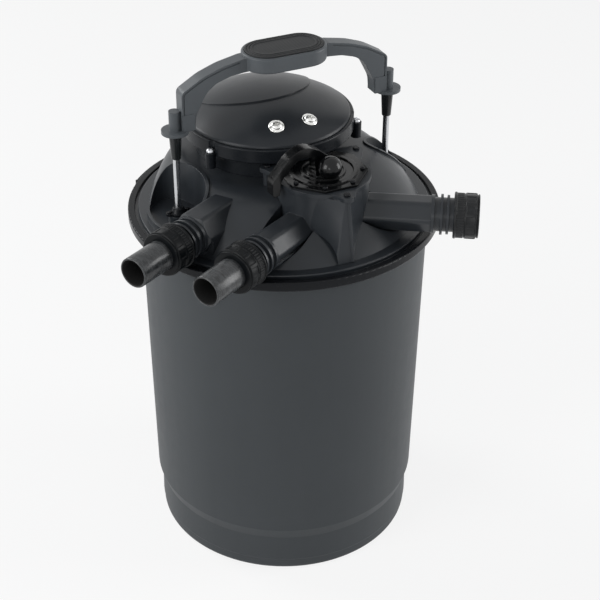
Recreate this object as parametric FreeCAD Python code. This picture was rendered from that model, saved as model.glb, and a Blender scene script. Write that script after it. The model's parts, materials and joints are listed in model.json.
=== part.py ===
import FreeCAD, Part
import math
import os

# Pressure canister filter for a pond, in millimetres.
# The origin is the centre of the drum's foot, +Z is up, and X runs from one handle rod to the other.

# Running and seating gaps
SEAT = 0.3
RUN = 0.08

# Drum
FOOT_RADIUS = 168.0
BODY_RADIUS = 173.7
NECK_RADIUS = 180.0
DRUM_WALL = 4.0
FOOT_LIFT = 3.0
FOOT_GROOVE = 22.0
STEP_LOW = 55.0
STEP_HIGH = 71.0
BEAD_HEIGHT = 16.0
BEAD_RISE = 0.8
RIM_TOP = 458.6
RIM_THICK = 2.4
RIM_RADIUS = 190.0

# Lid
LID_WALL = 4.0
FLANGE_TOP = 467.0
FLANGE_RADIUS = 182.0
LIP_THICK = 2.3
CONE_FOOT_RADIUS = 169.5
CONE_TOP_RADIUS = 107.0
CONE_TOP = 522.0
CONE_SWELL = 2.2
CONE_SECTIONS = 7
PLUG_DEPTH = 14.0
PLUG_RADIUS = 174.8
PLUG_WALL = 4.0

# Clamp band and its lever
BAND_RADIUS = 195.0
BAND_WALL = 4.4
BAND_LIP_RADIUS = 186.5
BAND_FOOT_RADIUS = 183.0
BAND_LIP = 3.4
BAND_CHAMFER = 2.0
LATCH_AZIMUTH = 112.0
LATCH_SWEEP = 26.0
LATCH_STAND_OFF = 0.8
LATCH_THICK = 3.0
LATCH_PIN_RADIUS = 1.5
BAND_GAP = 5.0

# Lamp unit on the lid
LAMP_Y = 48.0
SKIRT_RADIUS = 90.0
COLLAR_RADIUS = 107.0
COLLAR_LOW = 549.0
COLLAR_TOP = 567.0
COLLAR_WALL = 4.0
SHELF_THICK = 3.0
LUG_RADIUS = 6.5
LUG_CIRCLE = 110.0
LUG_TOP = 555.0
LUG_ANGLE = 63.0
COVER_RADIUS = 102.8
COVER_EDGE = 3.0
COVER_RISE = 30.0
COVER_WALL = 3.0
COVER_TAPER = 0.8
RAISED_X = -5.0
RAISED_Y = 93.0
RAISED_RADIUS = 76.0
RAISED_RISE = 1.8
RAISED_EDGE = 5.0
COVER_SCREW_X = 22.0
COVER_SCREW_Y = -26.0
COVER_SCREW_RADIUS = 9.5
COVER_SCREW_SINK = 0.5
SLEEVE_RADIUS = 17.0
SLEEVE_WALL = 1.8
SLEEVE_BOTTOM = 180.0
LAMP_TUBE_RADIUS = 6.0
LAMP_TUBE_PITCH = 14.5

# Handle
ROD_X = 141.0
ROD_RADIUS = 4.0
ROD_TOP = 612.0
DISC_RADIUS = 16.5
DISC_LOW = 589.0
DISC_HIGH = 593.0
SOCKET_TOP = 617.0
SOCKET_RADIUS = 7.0
LEG_OUTER_X = 134.5
LEG_INNER_X = 118.5
ARCH_WIDTH = 18.0
ARCH_TOP = 671.0
ARCH_RECESS = 1.0
ARM_FOOT_TOP = 613.0
ARM_FOOT_RISE = 0.8
GRIP_LENGTH = 106.0
GRIP_WIDTH = 62.0
GRIP_LOW = 654.0
PAD_LENGTH = 98.0
PAD_WIDTH = 54.0
PAD_SINK = 2.0
PAD_CROWN = 4.5
GROMMET_LENGTH = 34.0
GROMMET_TOP_RADIUS = 7.8
GROMMET_END_RADIUS = 5.7

# Wells round the rods
WELL_HALF_X = 31.5
WELL_HALF_Y = 50.8
WELL_X = 139.0
WELL_Y = 6.7
RIGHT_WELL_HALF_X = 26.0
RIGHT_WELL_HALF_Y = 17.0
WELL_FLOOR = 470.0
WELL_WALL = 4.0
WELL_RISE = 2.0
WELL_LIP_RADIUS = 178.0
WELL_LIP_TOP = 476.0
GLAND_HEIGHT = 19.0
GLAND_RADIUS = 9.0
GLAND_EAR = 16.0
BOSS_RADIUS = 12.5
BOSS_HEIGHT = 10.0
SEAL_RADIUS = 7.0

# Filter pack
PLATE_LOW = 72.0
PLATE_THICK = 7.5
PLATE_RADIUS = 166.0
GRID_LOW = 408.0
GRID_THICK = 4.0
GRID_RADIUS = 164.0
FOAM_RADIUS = 166.0
FOAM_GAP = 0.3
CENTRE_TUBE_RADIUS = 44.0
CENTRE_TUBE_WALL = 3.0
STAND_RADIUS = 124.0
STAND_TUBE_SEAT = 60.0
POST_RADIUS = 6.0
POST_OFFSET = 35.0
RIGHT_POST_OFFSET = 11.0

# Ports: place of the axis, its height, its azimuth and the distance from that place to the nut's front face
PORT_HEIGHT = 493.0
WASTE_HEIGHT = 497.0
VALVE_X = 10.0
VALVE_Y = -88.0
FRONT_AZIMUTH = -151.0
WASTE_AZIMUTH = -31.0
INLET_X = -3.78
INLET_Y = 6.82
INLET_REACH = 228.0
OUTLET_REACH = 176.0
WASTE_REACH = 187.0
INLET_ROOT = 88.0
TUBE_CORNER_RADIUS = 23.0
TUBE_ROUNDING = 7.0
DUCT_RADIUS = 28.0
DUCT_WALL_HALF = 26.7
DUCT_NECK = 6.0
TUBE_BORE = 15.9
SPIGOT_RADIUS = 20.4
THREAD_RADIUS = 22.2
RING_RADIUS = 24.4
TUBE_END = 57.0
NUT_LENGTH = 30.0
NUT_GRIP_LENGTH = 14.6
NUT_GRIP_RADIUS = 28.0
NUT_PLAIN_RADIUS = 26.7
NUT_WINDOWS = 12
NUT_LIP = 3.0
TAIL_RADIUS = 18.5
TAIL_WALL = 2.6
TAIL_LENGTH = 48.0
TAIL_FLANGE = 3.0
GASKET_THICK = 2.4

# Valve
BARREL_RADIUS = 55.0
ROTOR_RADIUS = 34.0
SEAT_FLOOR = 470.0
FLANGE_LOW = 540.5
FLANGE_HIGH = 546.0
EARS = ((30.0, 72.0), (144.6, 67.0), (-90.0, 64.0))
EAR_RADIUS = 9.0
EAR_POST_RADIUS = 5.0
COVER_RING_TOP = 550.6
COVER_RING_STEP = 1.6
COVER_RING_RADIUS = 50.0
COVER_RING_BORE = 36.4
DIAL_RADIUS = 36.0
DIAL_TOP = 548.6
DIAL_RING_RADIUS = 27.5
LEVER_AZIMUTH = 185.0
LEVER_WIDTH = 14.0
BALL_RADIUS = 14.0
BALL_REACH = 19.0
BALL_HEIGHT = 561.0
BALL_AZIMUTH = -90.0
APRON_FACE = 44.0
APRON_BITE = 1.0
LEG_LEFT_X = -11.0
LEG_RIGHT_X = 12.0
LEG_FOOT_Y = -171.0
APRON_TOP_X = 9.0
APRON_TOP_HALF = 3.0
APRON_TOP_Y = -157.0
APRON_EDGE = 3.5
ARCH_AZIMUTH = -114.7
ARCH_RADIUS = 27.0
LEFT_ARCH_SHIFT = 36.0
LEFT_ARCH_HEIGHT = 468.0
RIGHT_ARCH_SHIFT = 109.0
RIGHT_ARCH_HEIGHT = 474.0
RIB_X = 10.0
RIB_RADIUS = 2.2
FIN_WIDTH = 36.8
FIN_THICK = 2.4
FIN_DROP = 13.0

# Fasteners
SCREW_HEAD = 4.2
SCREW_HEAD_HEIGHT = 2.5

ORIGIN = FreeCAD.Vector(0, 0, 0)
X_AXIS = FreeCAD.Vector(1, 0, 0)
Y_AXIS = FreeCAD.Vector(0, 1, 0)
Z_AXIS = FreeCAD.Vector(0, 0, 1)


def vec(x, y, z):
    return FreeCAD.Vector(x, y, z)


def polar(radius, azimuth, z=0.0, x=0.0, y=0.0):
    angle = math.radians(azimuth)
    return vec(x + radius * math.cos(angle), y + radius * math.sin(angle), z)


def side_plane(point):
    return vec(point.x, 0, point.y)


def floor_plane(point):
    return vec(point.x, point.y, 0)


def corner_wire(points, plane):
    """A closed wire through points of (u, v, corner radius), laid in the given plane."""
    corners = []
    for index, (u, v, radius) in enumerate(points):
        corner = vec(u, v, 0)
        if radius <= 0:
            corners.append((corner, None, corner))
            continue
        before = points[index - 1]
        after = points[(index + 1) % len(points)]
        back = vec(before[0] - u, before[1] - v, 0).normalize()
        ahead = vec(after[0] - u, after[1] - v, 0).normalize()
        half = back.getAngle(ahead) / 2
        reach = radius / math.tan(half)
        inward = (back + ahead).normalize()
        middle = corner + inward * (radius / math.sin(half) - radius)
        corners.append((corner + back * reach, middle, corner + ahead * reach))
    edges = []
    for index, (start, middle, end) in enumerate(corners):
        if middle is not None:
            edges.append(Part.Arc(plane(start), plane(middle), plane(end)).toShape())
        following = corners[(index + 1) % len(corners)][0]
        if (following - end).Length > 1e-6:
            edges.append(Part.makeLine(plane(end), plane(following)))
    return Part.Wire(edges)


def turned(points, x=0.0, y=0.0):
    """A solid of revolution about the vertical axis at (x, y), from points of (radius, z, corner radius)."""
    face = Part.Face(corner_wire(points, side_plane))
    solid = face.revolve(ORIGIN, Z_AXIS, 360)
    solid.translate(vec(x, y, 0))
    return solid


def plate(points, low, high):
    """An upright prism over an outline of (x, y, corner radius)."""
    face = Part.Face(corner_wire(points, floor_plane))
    solid = face.extrude(vec(0, 0, high - low))
    solid.translate(vec(0, 0, low))
    return solid


def cylinder(radius, low, high, x=0.0, y=0.0):
    return Part.makeCylinder(radius, high - low, vec(x, y, low), Z_AXIS)


def ring(outer, inner, low, high, x=0.0, y=0.0):
    return cylinder(outer, low, high, x, y).cut(cylinder(inner, low - 1, high + 1, x, y))


def seal_ring(radius, half_section, z, x=0.0, y=0.0):
    """A seal of square section about the middle radius given."""
    return ring(radius + half_section, radius - half_section, z - half_section, z + half_section, x, y)


def oval(half_x, half_y, low, high, x, y):
    """An upright elliptical prism with its axes along X and Y."""
    edge = Part.Ellipse(ORIGIN, max(half_x, half_y), min(half_x, half_y)).toShape()
    solid = Part.Face(Part.Wire([edge])).extrude(vec(0, 0, high - low))
    if half_y > half_x:
        solid.rotate(ORIGIN, Z_AXIS, 90)
    solid.translate(vec(x, y, low))
    return solid


def turn(shape, azimuth, x=0.0, y=0.0):
    copy = shape.copy()
    copy.rotate(vec(x, y, 0), Z_AXIS, azimuth)
    return copy


def fused(shapes):
    total = shapes[0]
    for shape in shapes[1:]:
        total = total.fuse(shape)
    return total.removeSplitter()


def cut_all(shape, tools):
    for tool in tools:
        shape = shape.cut(tool)
    return shape


def mirrored(shape):
    return shape.mirror(ORIGIN, X_AXIS)


class Port:
    """A horizontal port: local Z runs out along its axis, from zero on the axis of what it grows from."""

    def __init__(self, x, y, height, azimuth, reach):
        self.x = x
        self.y = y
        self.height = height
        self.azimuth = azimuth
        self.reach = reach

    def lay(self, shape):
        copy = shape.copy()
        copy.rotate(ORIGIN, Y_AXIS, 90)
        copy.rotate(ORIGIN, Z_AXIS, self.azimuth)
        copy.translate(vec(self.x, self.y, self.height))
        return copy


INLET = Port(INLET_X, INLET_Y, PORT_HEIGHT, FRONT_AZIMUTH, INLET_REACH)
OUTLET = Port(VALVE_X, VALVE_Y, PORT_HEIGHT, FRONT_AZIMUTH, OUTLET_REACH)
WASTE = Port(VALVE_X, VALVE_Y, WASTE_HEIGHT, WASTE_AZIMUTH, WASTE_REACH)


def cone(grow=0.0, lift=0.0):
    """The skewed cone of the lid: round sections whose centres move back towards the lamp."""
    sections = []
    for index in range(CONE_SECTIONS):
        share = index / (CONE_SECTIONS - 1)
        rise = 1 - (1 - share) ** CONE_SWELL
        z = FLANGE_TOP + (CONE_TOP - FLANGE_TOP) * rise + lift
        radius = CONE_FOOT_RADIUS + (CONE_TOP_RADIUS - CONE_FOOT_RADIUS) * share + grow
        circle = Part.makeCircle(radius, vec(0, LAMP_Y * share, z), Z_AXIS)
        sections.append(Part.Wire([circle]))
    return Part.makeLoft(sections, True, False)


def hexagon(corner_radius, start, end, rounding=TUBE_ROUNDING):
    """A hexagonal prism along local Z with a flat side on top."""
    points = []
    for index in range(6):
        angle = math.radians(60 * index)
        points.append((corner_radius * math.sin(angle), corner_radius * math.cos(angle), rounding))
    turned_points = [(v, u, r) for u, v, r in points]
    face = Part.Face(corner_wire(turned_points, floor_plane))
    solid = face.extrude(vec(0, 0, end - start))
    solid.rotate(ORIGIN, Z_AXIS, 30 + 60)
    solid.translate(vec(0, 0, start))
    return solid


def port_outside(port, root):
    """Tube, collar, two rings and threaded spigot of a port."""
    reach = port.reach
    pieces = [
        hexagon(TUBE_CORNER_RADIUS, root, reach - TUBE_END + 1),
        cylinder(TUBE_CORNER_RADIUS + 0.4, reach - TUBE_END, reach - TUBE_END + 4),
        cylinder(SPIGOT_RADIUS, reach - TUBE_END + 3, reach - NUT_LENGTH + 1),
        cylinder(RING_RADIUS, reach - TUBE_END + 11, reach - TUBE_END + 14),
        cylinder(RING_RADIUS - 0.8, reach - TUBE_END + 18.5, reach - TUBE_END + 21.5),
        cylinder(THREAD_RADIUS, reach - NUT_LENGTH + 1, spigot_end(port)),
    ]
    return port.lay(fused(pieces))


def inlet_duct():
    """The duct that the inlet's tube grows from: a hexagonal top on upright walls, drawn in to the collar."""
    end = INLET_REACH - TUBE_END
    depth = PORT_HEIGHT - FLANGE_TOP + 1
    wall = Part.makeBox(depth, 2 * DUCT_WALL_HALF, end - DUCT_NECK - INLET_ROOT, vec(0, -DUCT_WALL_HALF, INLET_ROOT))
    neck = Part.makeCone(DUCT_RADIUS + 3, TUBE_CORNER_RADIUS + 1.2, DUCT_NECK, vec(0, 0, end - DUCT_NECK), Z_AXIS)
    pieces = [
        hexagon(DUCT_RADIUS, INLET_ROOT, end - DUCT_NECK + 0.01),
        hexagon(DUCT_RADIUS, end - DUCT_NECK, end).common(neck),
        wall,
    ]
    return INLET.lay(fused(pieces))


def spigot_end(port):
    return port.reach - NUT_LIP - TAIL_FLANGE - GASKET_THICK - 3 * 0.15


def port_bore(port, root):
    return port.lay(cylinder(TUBE_BORE, root, port.reach))


def valve_seat(gap):
    """The space that the valve's barrel and tubes take in the lid, grown by a gap."""
    barrel = cylinder(BARREL_RADIUS + gap, SEAT_FLOOR - gap, CONE_TOP + 30, VALVE_X, VALVE_Y)
    pieces = [barrel]
    for port in (OUTLET, WASTE):
        half = TUBE_CORNER_RADIUS + 0.4 + gap
        length = port.reach - NUT_LENGTH
        pieces.append(port.lay(cylinder(half, 0, length)))
        pieces.append(port.lay(Part.makeBox(80, 2 * half, length, vec(-80, -half, 0))))
    return fused(pieces)


def drum():
    outer = [
        (0, 0, 0),
        (FOOT_RADIUS - FOOT_GROOVE - 28, 0, 2),
        (FOOT_RADIUS - FOOT_GROOVE - 24, FOOT_LIFT, 2),
        (FOOT_RADIUS - 28, FOOT_LIFT, 2),
        (FOOT_RADIUS - 24, 0, 2),
        (FOOT_RADIUS, 0, 7),
        (FOOT_RADIUS + 0.3, BEAD_HEIGHT, 0),
        (FOOT_RADIUS + BEAD_RISE + 0.3, BEAD_HEIGHT + 1.5, 0.6),
        (FOOT_RADIUS + 0.6, STEP_LOW, 2),
        (BODY_RADIUS, STEP_HIGH, 3),
        (NECK_RADIUS, RIM_TOP - RIM_THICK, 2),
        (RIM_RADIUS, RIM_TOP - RIM_THICK, 0.8),
        (RIM_RADIUS, RIM_TOP, 0.8),
        (NECK_RADIUS - DRUM_WALL, RIM_TOP, 0.8),
        (BODY_RADIUS - DRUM_WALL, STEP_HIGH + 2, 3),
        (FOOT_RADIUS - DRUM_WALL + 0.6, STEP_LOW + 1, 2),
        (FOOT_RADIUS - DRUM_WALL, FOOT_LIFT + DRUM_WALL, 6),
        (0, FOOT_LIFT + DRUM_WALL, 0),
    ]
    return turned(outer)


def well(grow, low, high, side):
    if side > 0:
        return oval(RIGHT_WELL_HALF_X + grow, RIGHT_WELL_HALF_Y + grow, low, high, ROD_X, 0)
    return oval(WELL_HALF_X + grow, WELL_HALF_Y + grow, low, high, -WELL_X, WELL_Y)


def well_wall(low, side):
    """The wall round a well: it follows the cone a little above its surface, and is low on the outside."""
    block = well(WELL_WALL, low, CONE_TOP + 60, side)
    upper = block.common(cone(WELL_RISE * 0.6, WELL_RISE))
    lower = block.common(cylinder(WELL_LIP_RADIUS, low, WELL_LIP_TOP))
    return [upper, lower]


def lid():
    lip_low = RIM_TOP + SEAT
    flange = turned([
        (0, lip_low, 0),
        (RIM_RADIUS, lip_low, 0),
        (RIM_RADIUS, lip_low + LIP_THICK, 0.6),
        (FLANGE_RADIUS, lip_low + LIP_THICK, 0.6),
        (FLANGE_RADIUS, FLANGE_TOP, 1.5),
        (0, FLANGE_TOP, 0),
    ])
    body = cone().fuse(flange).fuse(cylinder(PLUG_RADIUS, lip_low - PLUG_DEPTH, lip_low))
    for shape in well_wall(lip_low + 1, -1) + well_wall(lip_low + 1, 1):
        body = body.fuse(shape)
    body = body.fuse(inlet_duct()).fuse(port_outside(INLET, INLET_REACH - TUBE_END - 5))

    throat = cylinder(CONE_FOOT_RADIUS - LID_WALL, lip_low - 1, FLANGE_TOP - LID_WALL + 0.1)
    plug_bore = cylinder(PLUG_RADIUS - PLUG_WALL, lip_low - PLUG_DEPTH - 1, lip_low)
    inside = cone(-LID_WALL, -LID_WALL).fuse(throat).fuse(plug_bore)
    seal_groove = ring(PLUG_RADIUS + 1, PLUG_RADIUS - 2.8, lip_low - 9.9, lip_low - 5.9)
    body = body.cut(inside).cut(seal_groove)

    for shape in well_wall(WELL_FLOOR - LID_WALL, -1) + well_wall(WELL_FLOOR - LID_WALL, 1):
        body = body.fuse(shape)
    below = cylinder(CONE_FOOT_RADIUS - LID_WALL + 1, lip_low, FLANGE_TOP)
    seat = valve_seat(SEAT + LID_WALL)
    body = body.fuse(seat.common(cone())).fuse(seat.common(below))

    hollows = [well(0, WELL_FLOOR, CONE_TOP + 60, side) for side in (-1, 1)]
    boss = cylinder(BOSS_RADIUS, WELL_FLOOR - 0.5, WELL_FLOOR + BOSS_HEIGHT, ROD_X, 0)
    body = cut_all(body, hollows + [valve_seat(SEAT)])
    body = body.fuse(inlet_duct().common(well(1.0, WELL_FLOOR - 1, CONE_TOP, -1)))
    body = body.fuse(boss).fuse(mirrored(boss))

    rod_hole = cylinder(ROD_RADIUS + RUN, 400, 560, ROD_X, 0)
    seal_pocket = cylinder(SEAL_RADIUS + 0.2, WELL_FLOOR + 3, 560, ROD_X, 0)
    lamp_hole = cylinder(SLEEVE_RADIUS + 40, CONE_TOP - 20, CONE_TOP + 5, 0, LAMP_Y)
    valve_hole = cylinder(ROTOR_RADIUS - 4, 440, SEAT_FLOOR + 2, VALVE_X, VALVE_Y)
    cuts = [rod_hole, mirrored(rod_hole), seal_pocket, mirrored(seal_pocket), lamp_hole, valve_hole,
            port_bore(INLET, INLET_ROOT + 6)]
    return cut_all(body, cuts)


def lid_seal():
    return seal_ring(PLUG_RADIUS - 0.8, 1.7, RIM_TOP + SEAT - 7.9)


def clamp_band():
    low = RIM_TOP - RIM_THICK - SEAT
    high = RIM_TOP + SEAT + LIP_THICK + SEAT
    section = [
        (BAND_FOOT_RADIUS, low, 0),
        (BAND_FOOT_RADIUS, low - BAND_LIP, 0.8),
        (BAND_RADIUS - BAND_CHAMFER, low - BAND_LIP, 1.5),
        (BAND_RADIUS, low - BAND_LIP + BAND_CHAMFER, 1.5),
        (BAND_RADIUS, high + BAND_LIP, 1.8),
        (BAND_LIP_RADIUS, high + BAND_LIP, 0.8),
        (BAND_LIP_RADIUS, high, 0.5),
        (BAND_RADIUS - BAND_WALL, high, 0),
        (BAND_RADIUS - BAND_WALL, low, 0),
    ]
    band = turned(section)
    gap = Part.makeBox(40, BAND_GAP, 40, vec(BAND_FOOT_RADIUS - 10, -BAND_GAP / 2, low - 15))
    band = band.cut(turn(gap, LATCH_AZIMUTH - 3))
    return fused([band, latch_ears()])


def latch_pin_place():
    return polar(BAND_RADIUS + LATCH_STAND_OFF + LATCH_THICK / 2, LATCH_AZIMUTH)


def latch_ears():
    """Two ears on the band that carry the lever's pin, one above the lever and one below."""
    pin = latch_pin_place()
    ears = []
    for low, high in ((453.0, 455.6), (461.8, 464.4)):
        knuckle = cylinder(LATCH_PIN_RADIUS + 1.6, low, high, pin.x, pin.y)
        reach = Part.makeBox(5.0, 5.0, high - low, vec(BAND_RADIUS - 3.5, -2.5, low))
        ears.append(fused([knuckle, turn(reach, LATCH_AZIMUTH)]))
    shape = Part.Compound(ears)
    hole = cylinder(LATCH_PIN_RADIUS, 440, 480, pin.x, pin.y)
    return shape.cut(hole)


def latch_pin():
    pin = latch_pin_place()
    shank = cylinder(LATCH_PIN_RADIUS, 452.6, 464.9, pin.x, pin.y)
    head = cylinder(LATCH_PIN_RADIUS + 1.0, 464.6, 465.6, pin.x, pin.y)
    return fused([shank, head])


def latch_lever():
    """A flat lever that hugs the band, with a lifted finger end."""
    inner = BAND_RADIUS + LATCH_STAND_OFF
    low = 456.0
    high = 461.4
    hoop = ring(inner + LATCH_THICK, inner, low, high)
    wedge = plate([(0, 0, 0), (260, 0, 0), (260 * math.cos(math.radians(LATCH_SWEEP)),
                                            260 * math.sin(math.radians(LATCH_SWEEP)), 0)], low - 1, high + 1)
    arm = hoop.common(turn(wedge, LATCH_AZIMUTH))
    pin = latch_pin_place()
    knuckle = cylinder(LATCH_THICK / 2 + 0.6, low, high, pin.x, pin.y)
    tip = polar(inner + LATCH_THICK / 2 + 0.8, LATCH_AZIMUTH + LATCH_SWEEP)
    finger = cylinder(LATCH_THICK / 2 + 0.4, low, high, tip.x, tip.y)
    lever = fused([arm, knuckle, finger])
    return lever.cut(cylinder(LATCH_PIN_RADIUS + RUN, low - 1, high + 1, pin.x, pin.y))


def lamp_collar():
    low = CONE_TOP + SEAT
    floor = COLLAR_LOW - 4
    body = turned([
        (0, low, 0),
        (SKIRT_RADIUS, low, 0),
        (SKIRT_RADIUS, COLLAR_LOW, 0),
        (COLLAR_RADIUS, COLLAR_LOW, 1.5),
        (COLLAR_RADIUS, COLLAR_TOP, 1.5),
        (0, COLLAR_TOP, 0),
    ], 0, LAMP_Y)
    lugs = []
    heads = []
    for side in (-1, 1):
        for azimuth in (-90 + side * LUG_ANGLE, 90 + side * LUG_ANGLE):
            place = polar(LUG_CIRCLE, azimuth, 0, 0, LAMP_Y)
            lugs.append(cylinder(LUG_RADIUS, COLLAR_LOW - 14, LUG_TOP, place.x, place.y))
            heads.append(cylinder(LUG_RADIUS - 0.5, LUG_TOP, COLLAR_TOP + 1, place.x, place.y))
    body = fused([body] + lugs)
    top_space = cylinder(COLLAR_RADIUS - COLLAR_WALL * 2, COLLAR_LOW + SHELF_THICK, COLLAR_TOP + 1, 0, LAMP_Y)
    mid_space = cylinder(SKIRT_RADIUS - COLLAR_WALL, COLLAR_LOW, COLLAR_TOP + 1, 0, LAMP_Y)
    low_space = cylinder(SKIRT_RADIUS - COLLAR_WALL, low - 1, floor, 0, LAMP_Y)
    sleeve_hole = cylinder(SLEEVE_RADIUS + SEAT, floor - 1, COLLAR_LOW + 1, 0, LAMP_Y)
    groove = ring(COLLAR_RADIUS - COLLAR_WALL - 0.3, COLLAR_RADIUS - COLLAR_WALL - 2.7, COLLAR_TOP - 2.2, COLLAR_TOP + 1, 0,
                  LAMP_Y)
    return cut_all(body, [top_space, mid_space, low_space, sleeve_hole, groove] + heads)


def lamp_seal():
    return seal_ring(COLLAR_RADIUS - COLLAR_WALL - 1.5, 1.1, COLLAR_TOP - 1.0, 0, LAMP_Y)


def dome_radius():
    return ((COVER_RADIUS - COVER_TAPER) ** 2 + COVER_RISE ** 2) / (2 * COVER_RISE)


def dome_z(reach):
    """Height of the cover's outside at a distance from the lamp's axis."""
    radius = dome_radius()
    top = COLLAR_TOP + SEAT + COVER_EDGE + COVER_RISE
    return top - radius + math.sqrt(radius ** 2 - reach ** 2)


def cap_face(radius, edge_radius, low, edge_top, rise):
    sphere = (edge_radius ** 2 + rise ** 2) / (2 * rise)
    middle_angle = math.asin(edge_radius / sphere) / 2
    top = edge_top + rise
    middle = vec(sphere * math.sin(middle_angle), 0, top - sphere + sphere * math.cos(middle_angle))
    edges = [
        Part.makeLine(vec(0, 0, low), vec(radius, 0, low)),
        Part.makeLine(vec(radius, 0, low), vec(edge_radius, 0, edge_top)),
        Part.Arc(vec(edge_radius, 0, edge_top), middle, vec(0, 0, top)).toShape(),
        Part.makeLine(vec(0, 0, top), vec(0, 0, low)),
    ]
    return Part.Face(Part.Wire(edges))


def lamp_cover():
    low = COLLAR_TOP + SEAT
    outside = cap_face(COVER_RADIUS, COVER_RADIUS - COVER_TAPER, low, low + COVER_EDGE, COVER_RISE)
    shell = outside.revolve(ORIGIN, Z_AXIS, 360)
    raised = shell.copy()
    raised.translate(vec(0, 0, RAISED_RISE))
    raised = raised.common(cylinder(COVER_RADIUS - RAISED_EDGE, low + 1, low + 60))
    raised = raised.common(cylinder(RAISED_RADIUS, low, low + 60, RAISED_X, RAISED_Y - LAMP_Y))
    rim = [edge for edge in shell.Edges if abs(edge.BoundBox.ZMin - low - COVER_EDGE) < 0.01
           and edge.BoundBox.XLength > COVER_RADIUS]
    shell = shell.makeFillet(4.0, rim).fuse(raised)
    inside_radius = COLLAR_RADIUS - COLLAR_WALL * 2 - 0.5
    inside = cap_face(inside_radius, inside_radius, low - 1, low + COVER_EDGE - 1,
                      COVER_RISE - COVER_WALL + 1)
    shell = shell.cut(inside.revolve(ORIGIN, Z_AXIS, 360))
    shell.translate(vec(0, LAMP_Y, 0))
    holes = []
    for side in (-1, 1):
        holes.append(on_dome(cylinder(2.6, -15, 5), side))
        holes.append(on_dome(cylinder(COVER_SCREW_RADIUS + 0.2, -COVER_SCREW_SINK, 8), side))
    return cut_all(shell, holes)


def on_dome(shape, side):
    """Sets a shape that stands on the level of zero upright on the dome, at the place of a cover screw."""
    x = side * COVER_SCREW_X
    reach = math.hypot(x, COVER_SCREW_Y - LAMP_Y)
    place = vec(x, COVER_SCREW_Y, dome_z(reach))
    middle = vec(0, LAMP_Y, dome_z(0) - dome_radius())
    copy = shape.copy()
    copy.Placement = FreeCAD.Placement(place, FreeCAD.Rotation(Z_AXIS, place - middle))
    return copy


def cover_screws():
    """Two flanged screws with a domed head and a crossed slot."""
    seat = 0.1 - COVER_SCREW_SINK
    screws = []
    for side in (-1, 1):
        head = turned([
            (0, seat - 12, 0),
            (2.3, seat - 12, 0),
            (2.3, seat, 0),
            (COVER_SCREW_RADIUS, seat, 0),
            (COVER_SCREW_RADIUS, seat + 1.8, 0.8),
            (6.4, seat + 2.6, 0),
            (5.8, seat + 5.0, 1.4),
            (0, seat + 5.6, 0),
        ])
        for turn_angle in (20, 110):
            slot = Part.makeBox(7.2, 1.4, 3.0, vec(-3.6, -0.7, seat + 3.6))
            slot.rotate(ORIGIN, Z_AXIS, turn_angle)
            head = head.cut(slot)
        screws.append(on_dome(head, side))
    return Part.Compound(screws)


def pan_screw(x, y, seat, radius=SCREW_HEAD, length=10.0):
    """A small pan head screw that stands on its seat."""
    return turned([
        (0, seat - length, 0),
        (radius * 0.45, seat - length, 0),
        (radius * 0.45, seat, 0),
        (radius, seat, 0),
        (radius, seat + SCREW_HEAD_HEIGHT, SCREW_HEAD_HEIGHT * 0.5),
        (0, seat + SCREW_HEAD_HEIGHT, 0),
    ], x, y)


def lug_screws():
    screws = []
    for side in (-1, 1):
        for azimuth in (-90 + side * LUG_ANGLE, 90 + side * LUG_ANGLE):
            place = polar(LUG_CIRCLE, azimuth, 0, 0, LAMP_Y)
            screws.append(screw_head_only(place.x, place.y, LUG_TOP + 0.1, 5.0, 4.5))
    return Part.Compound(screws)


def screw_head_only(x, y, seat, radius, height):
    return turned([
        (0, seat, 0),
        (radius, seat, 0),
        (radius, seat + height, height * 0.6),
        (0, seat + height, 0),
    ], x, y)


def quartz_sleeve():
    top = COLLAR_LOW + 4
    outer = cylinder(SLEEVE_RADIUS, SLEEVE_BOTTOM, top, 0, LAMP_Y)
    outer = outer.fuse(Part.makeSphere(SLEEVE_RADIUS, vec(0, LAMP_Y, SLEEVE_BOTTOM)))
    inner = cylinder(SLEEVE_RADIUS - SLEEVE_WALL, SLEEVE_BOTTOM, top + 1, 0, LAMP_Y)
    inner = inner.fuse(Part.makeSphere(SLEEVE_RADIUS - SLEEVE_WALL, vec(0, LAMP_Y, SLEEVE_BOTTOM)))
    return outer.cut(inner).removeSplitter()


def sleeve_seal():
    return ring(SLEEVE_RADIUS + 4.5, SLEEVE_RADIUS + 0.1, COLLAR_LOW + 0.1, COLLAR_LOW + 2.2, 0, LAMP_Y)


def sleeve_nut():
    low = COLLAR_LOW + 2.4
    points = []
    for index in range(6):
        angle = math.radians(60 * index)
        points.append((28 * math.cos(angle), 28 * math.sin(angle), 3))
    body = plate(points, low, low + 8)
    body.translate(vec(0, LAMP_Y, 0))
    return body.cut(cylinder(SLEEVE_RADIUS + 0.2, low - 1, low + 9, 0, LAMP_Y))


def uv_lamp():
    """Two parallel tubes joined at the bottom, on a round cap."""
    low = SLEEVE_BOTTOM + 18
    high = COLLAR_LOW - 22
    pieces = []
    for side in (-1, 1):
        pieces.append(cylinder(LAMP_TUBE_RADIUS, low, high, side * LAMP_TUBE_PITCH / 2, LAMP_Y))
        tip = Part.makeSphere(LAMP_TUBE_RADIUS, vec(side * LAMP_TUBE_PITCH / 2, LAMP_Y, low))
        pieces.append(tip)
    bridge = Part.makeCylinder(3.0, LAMP_TUBE_PITCH, vec(-LAMP_TUBE_PITCH / 2, LAMP_Y, low + 8), X_AXIS)
    cap = cylinder(SLEEVE_RADIUS - SLEEVE_WALL - 0.4, high - 1, COLLAR_LOW, 0, LAMP_Y)
    return fused(pieces + [bridge, cap])


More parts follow.
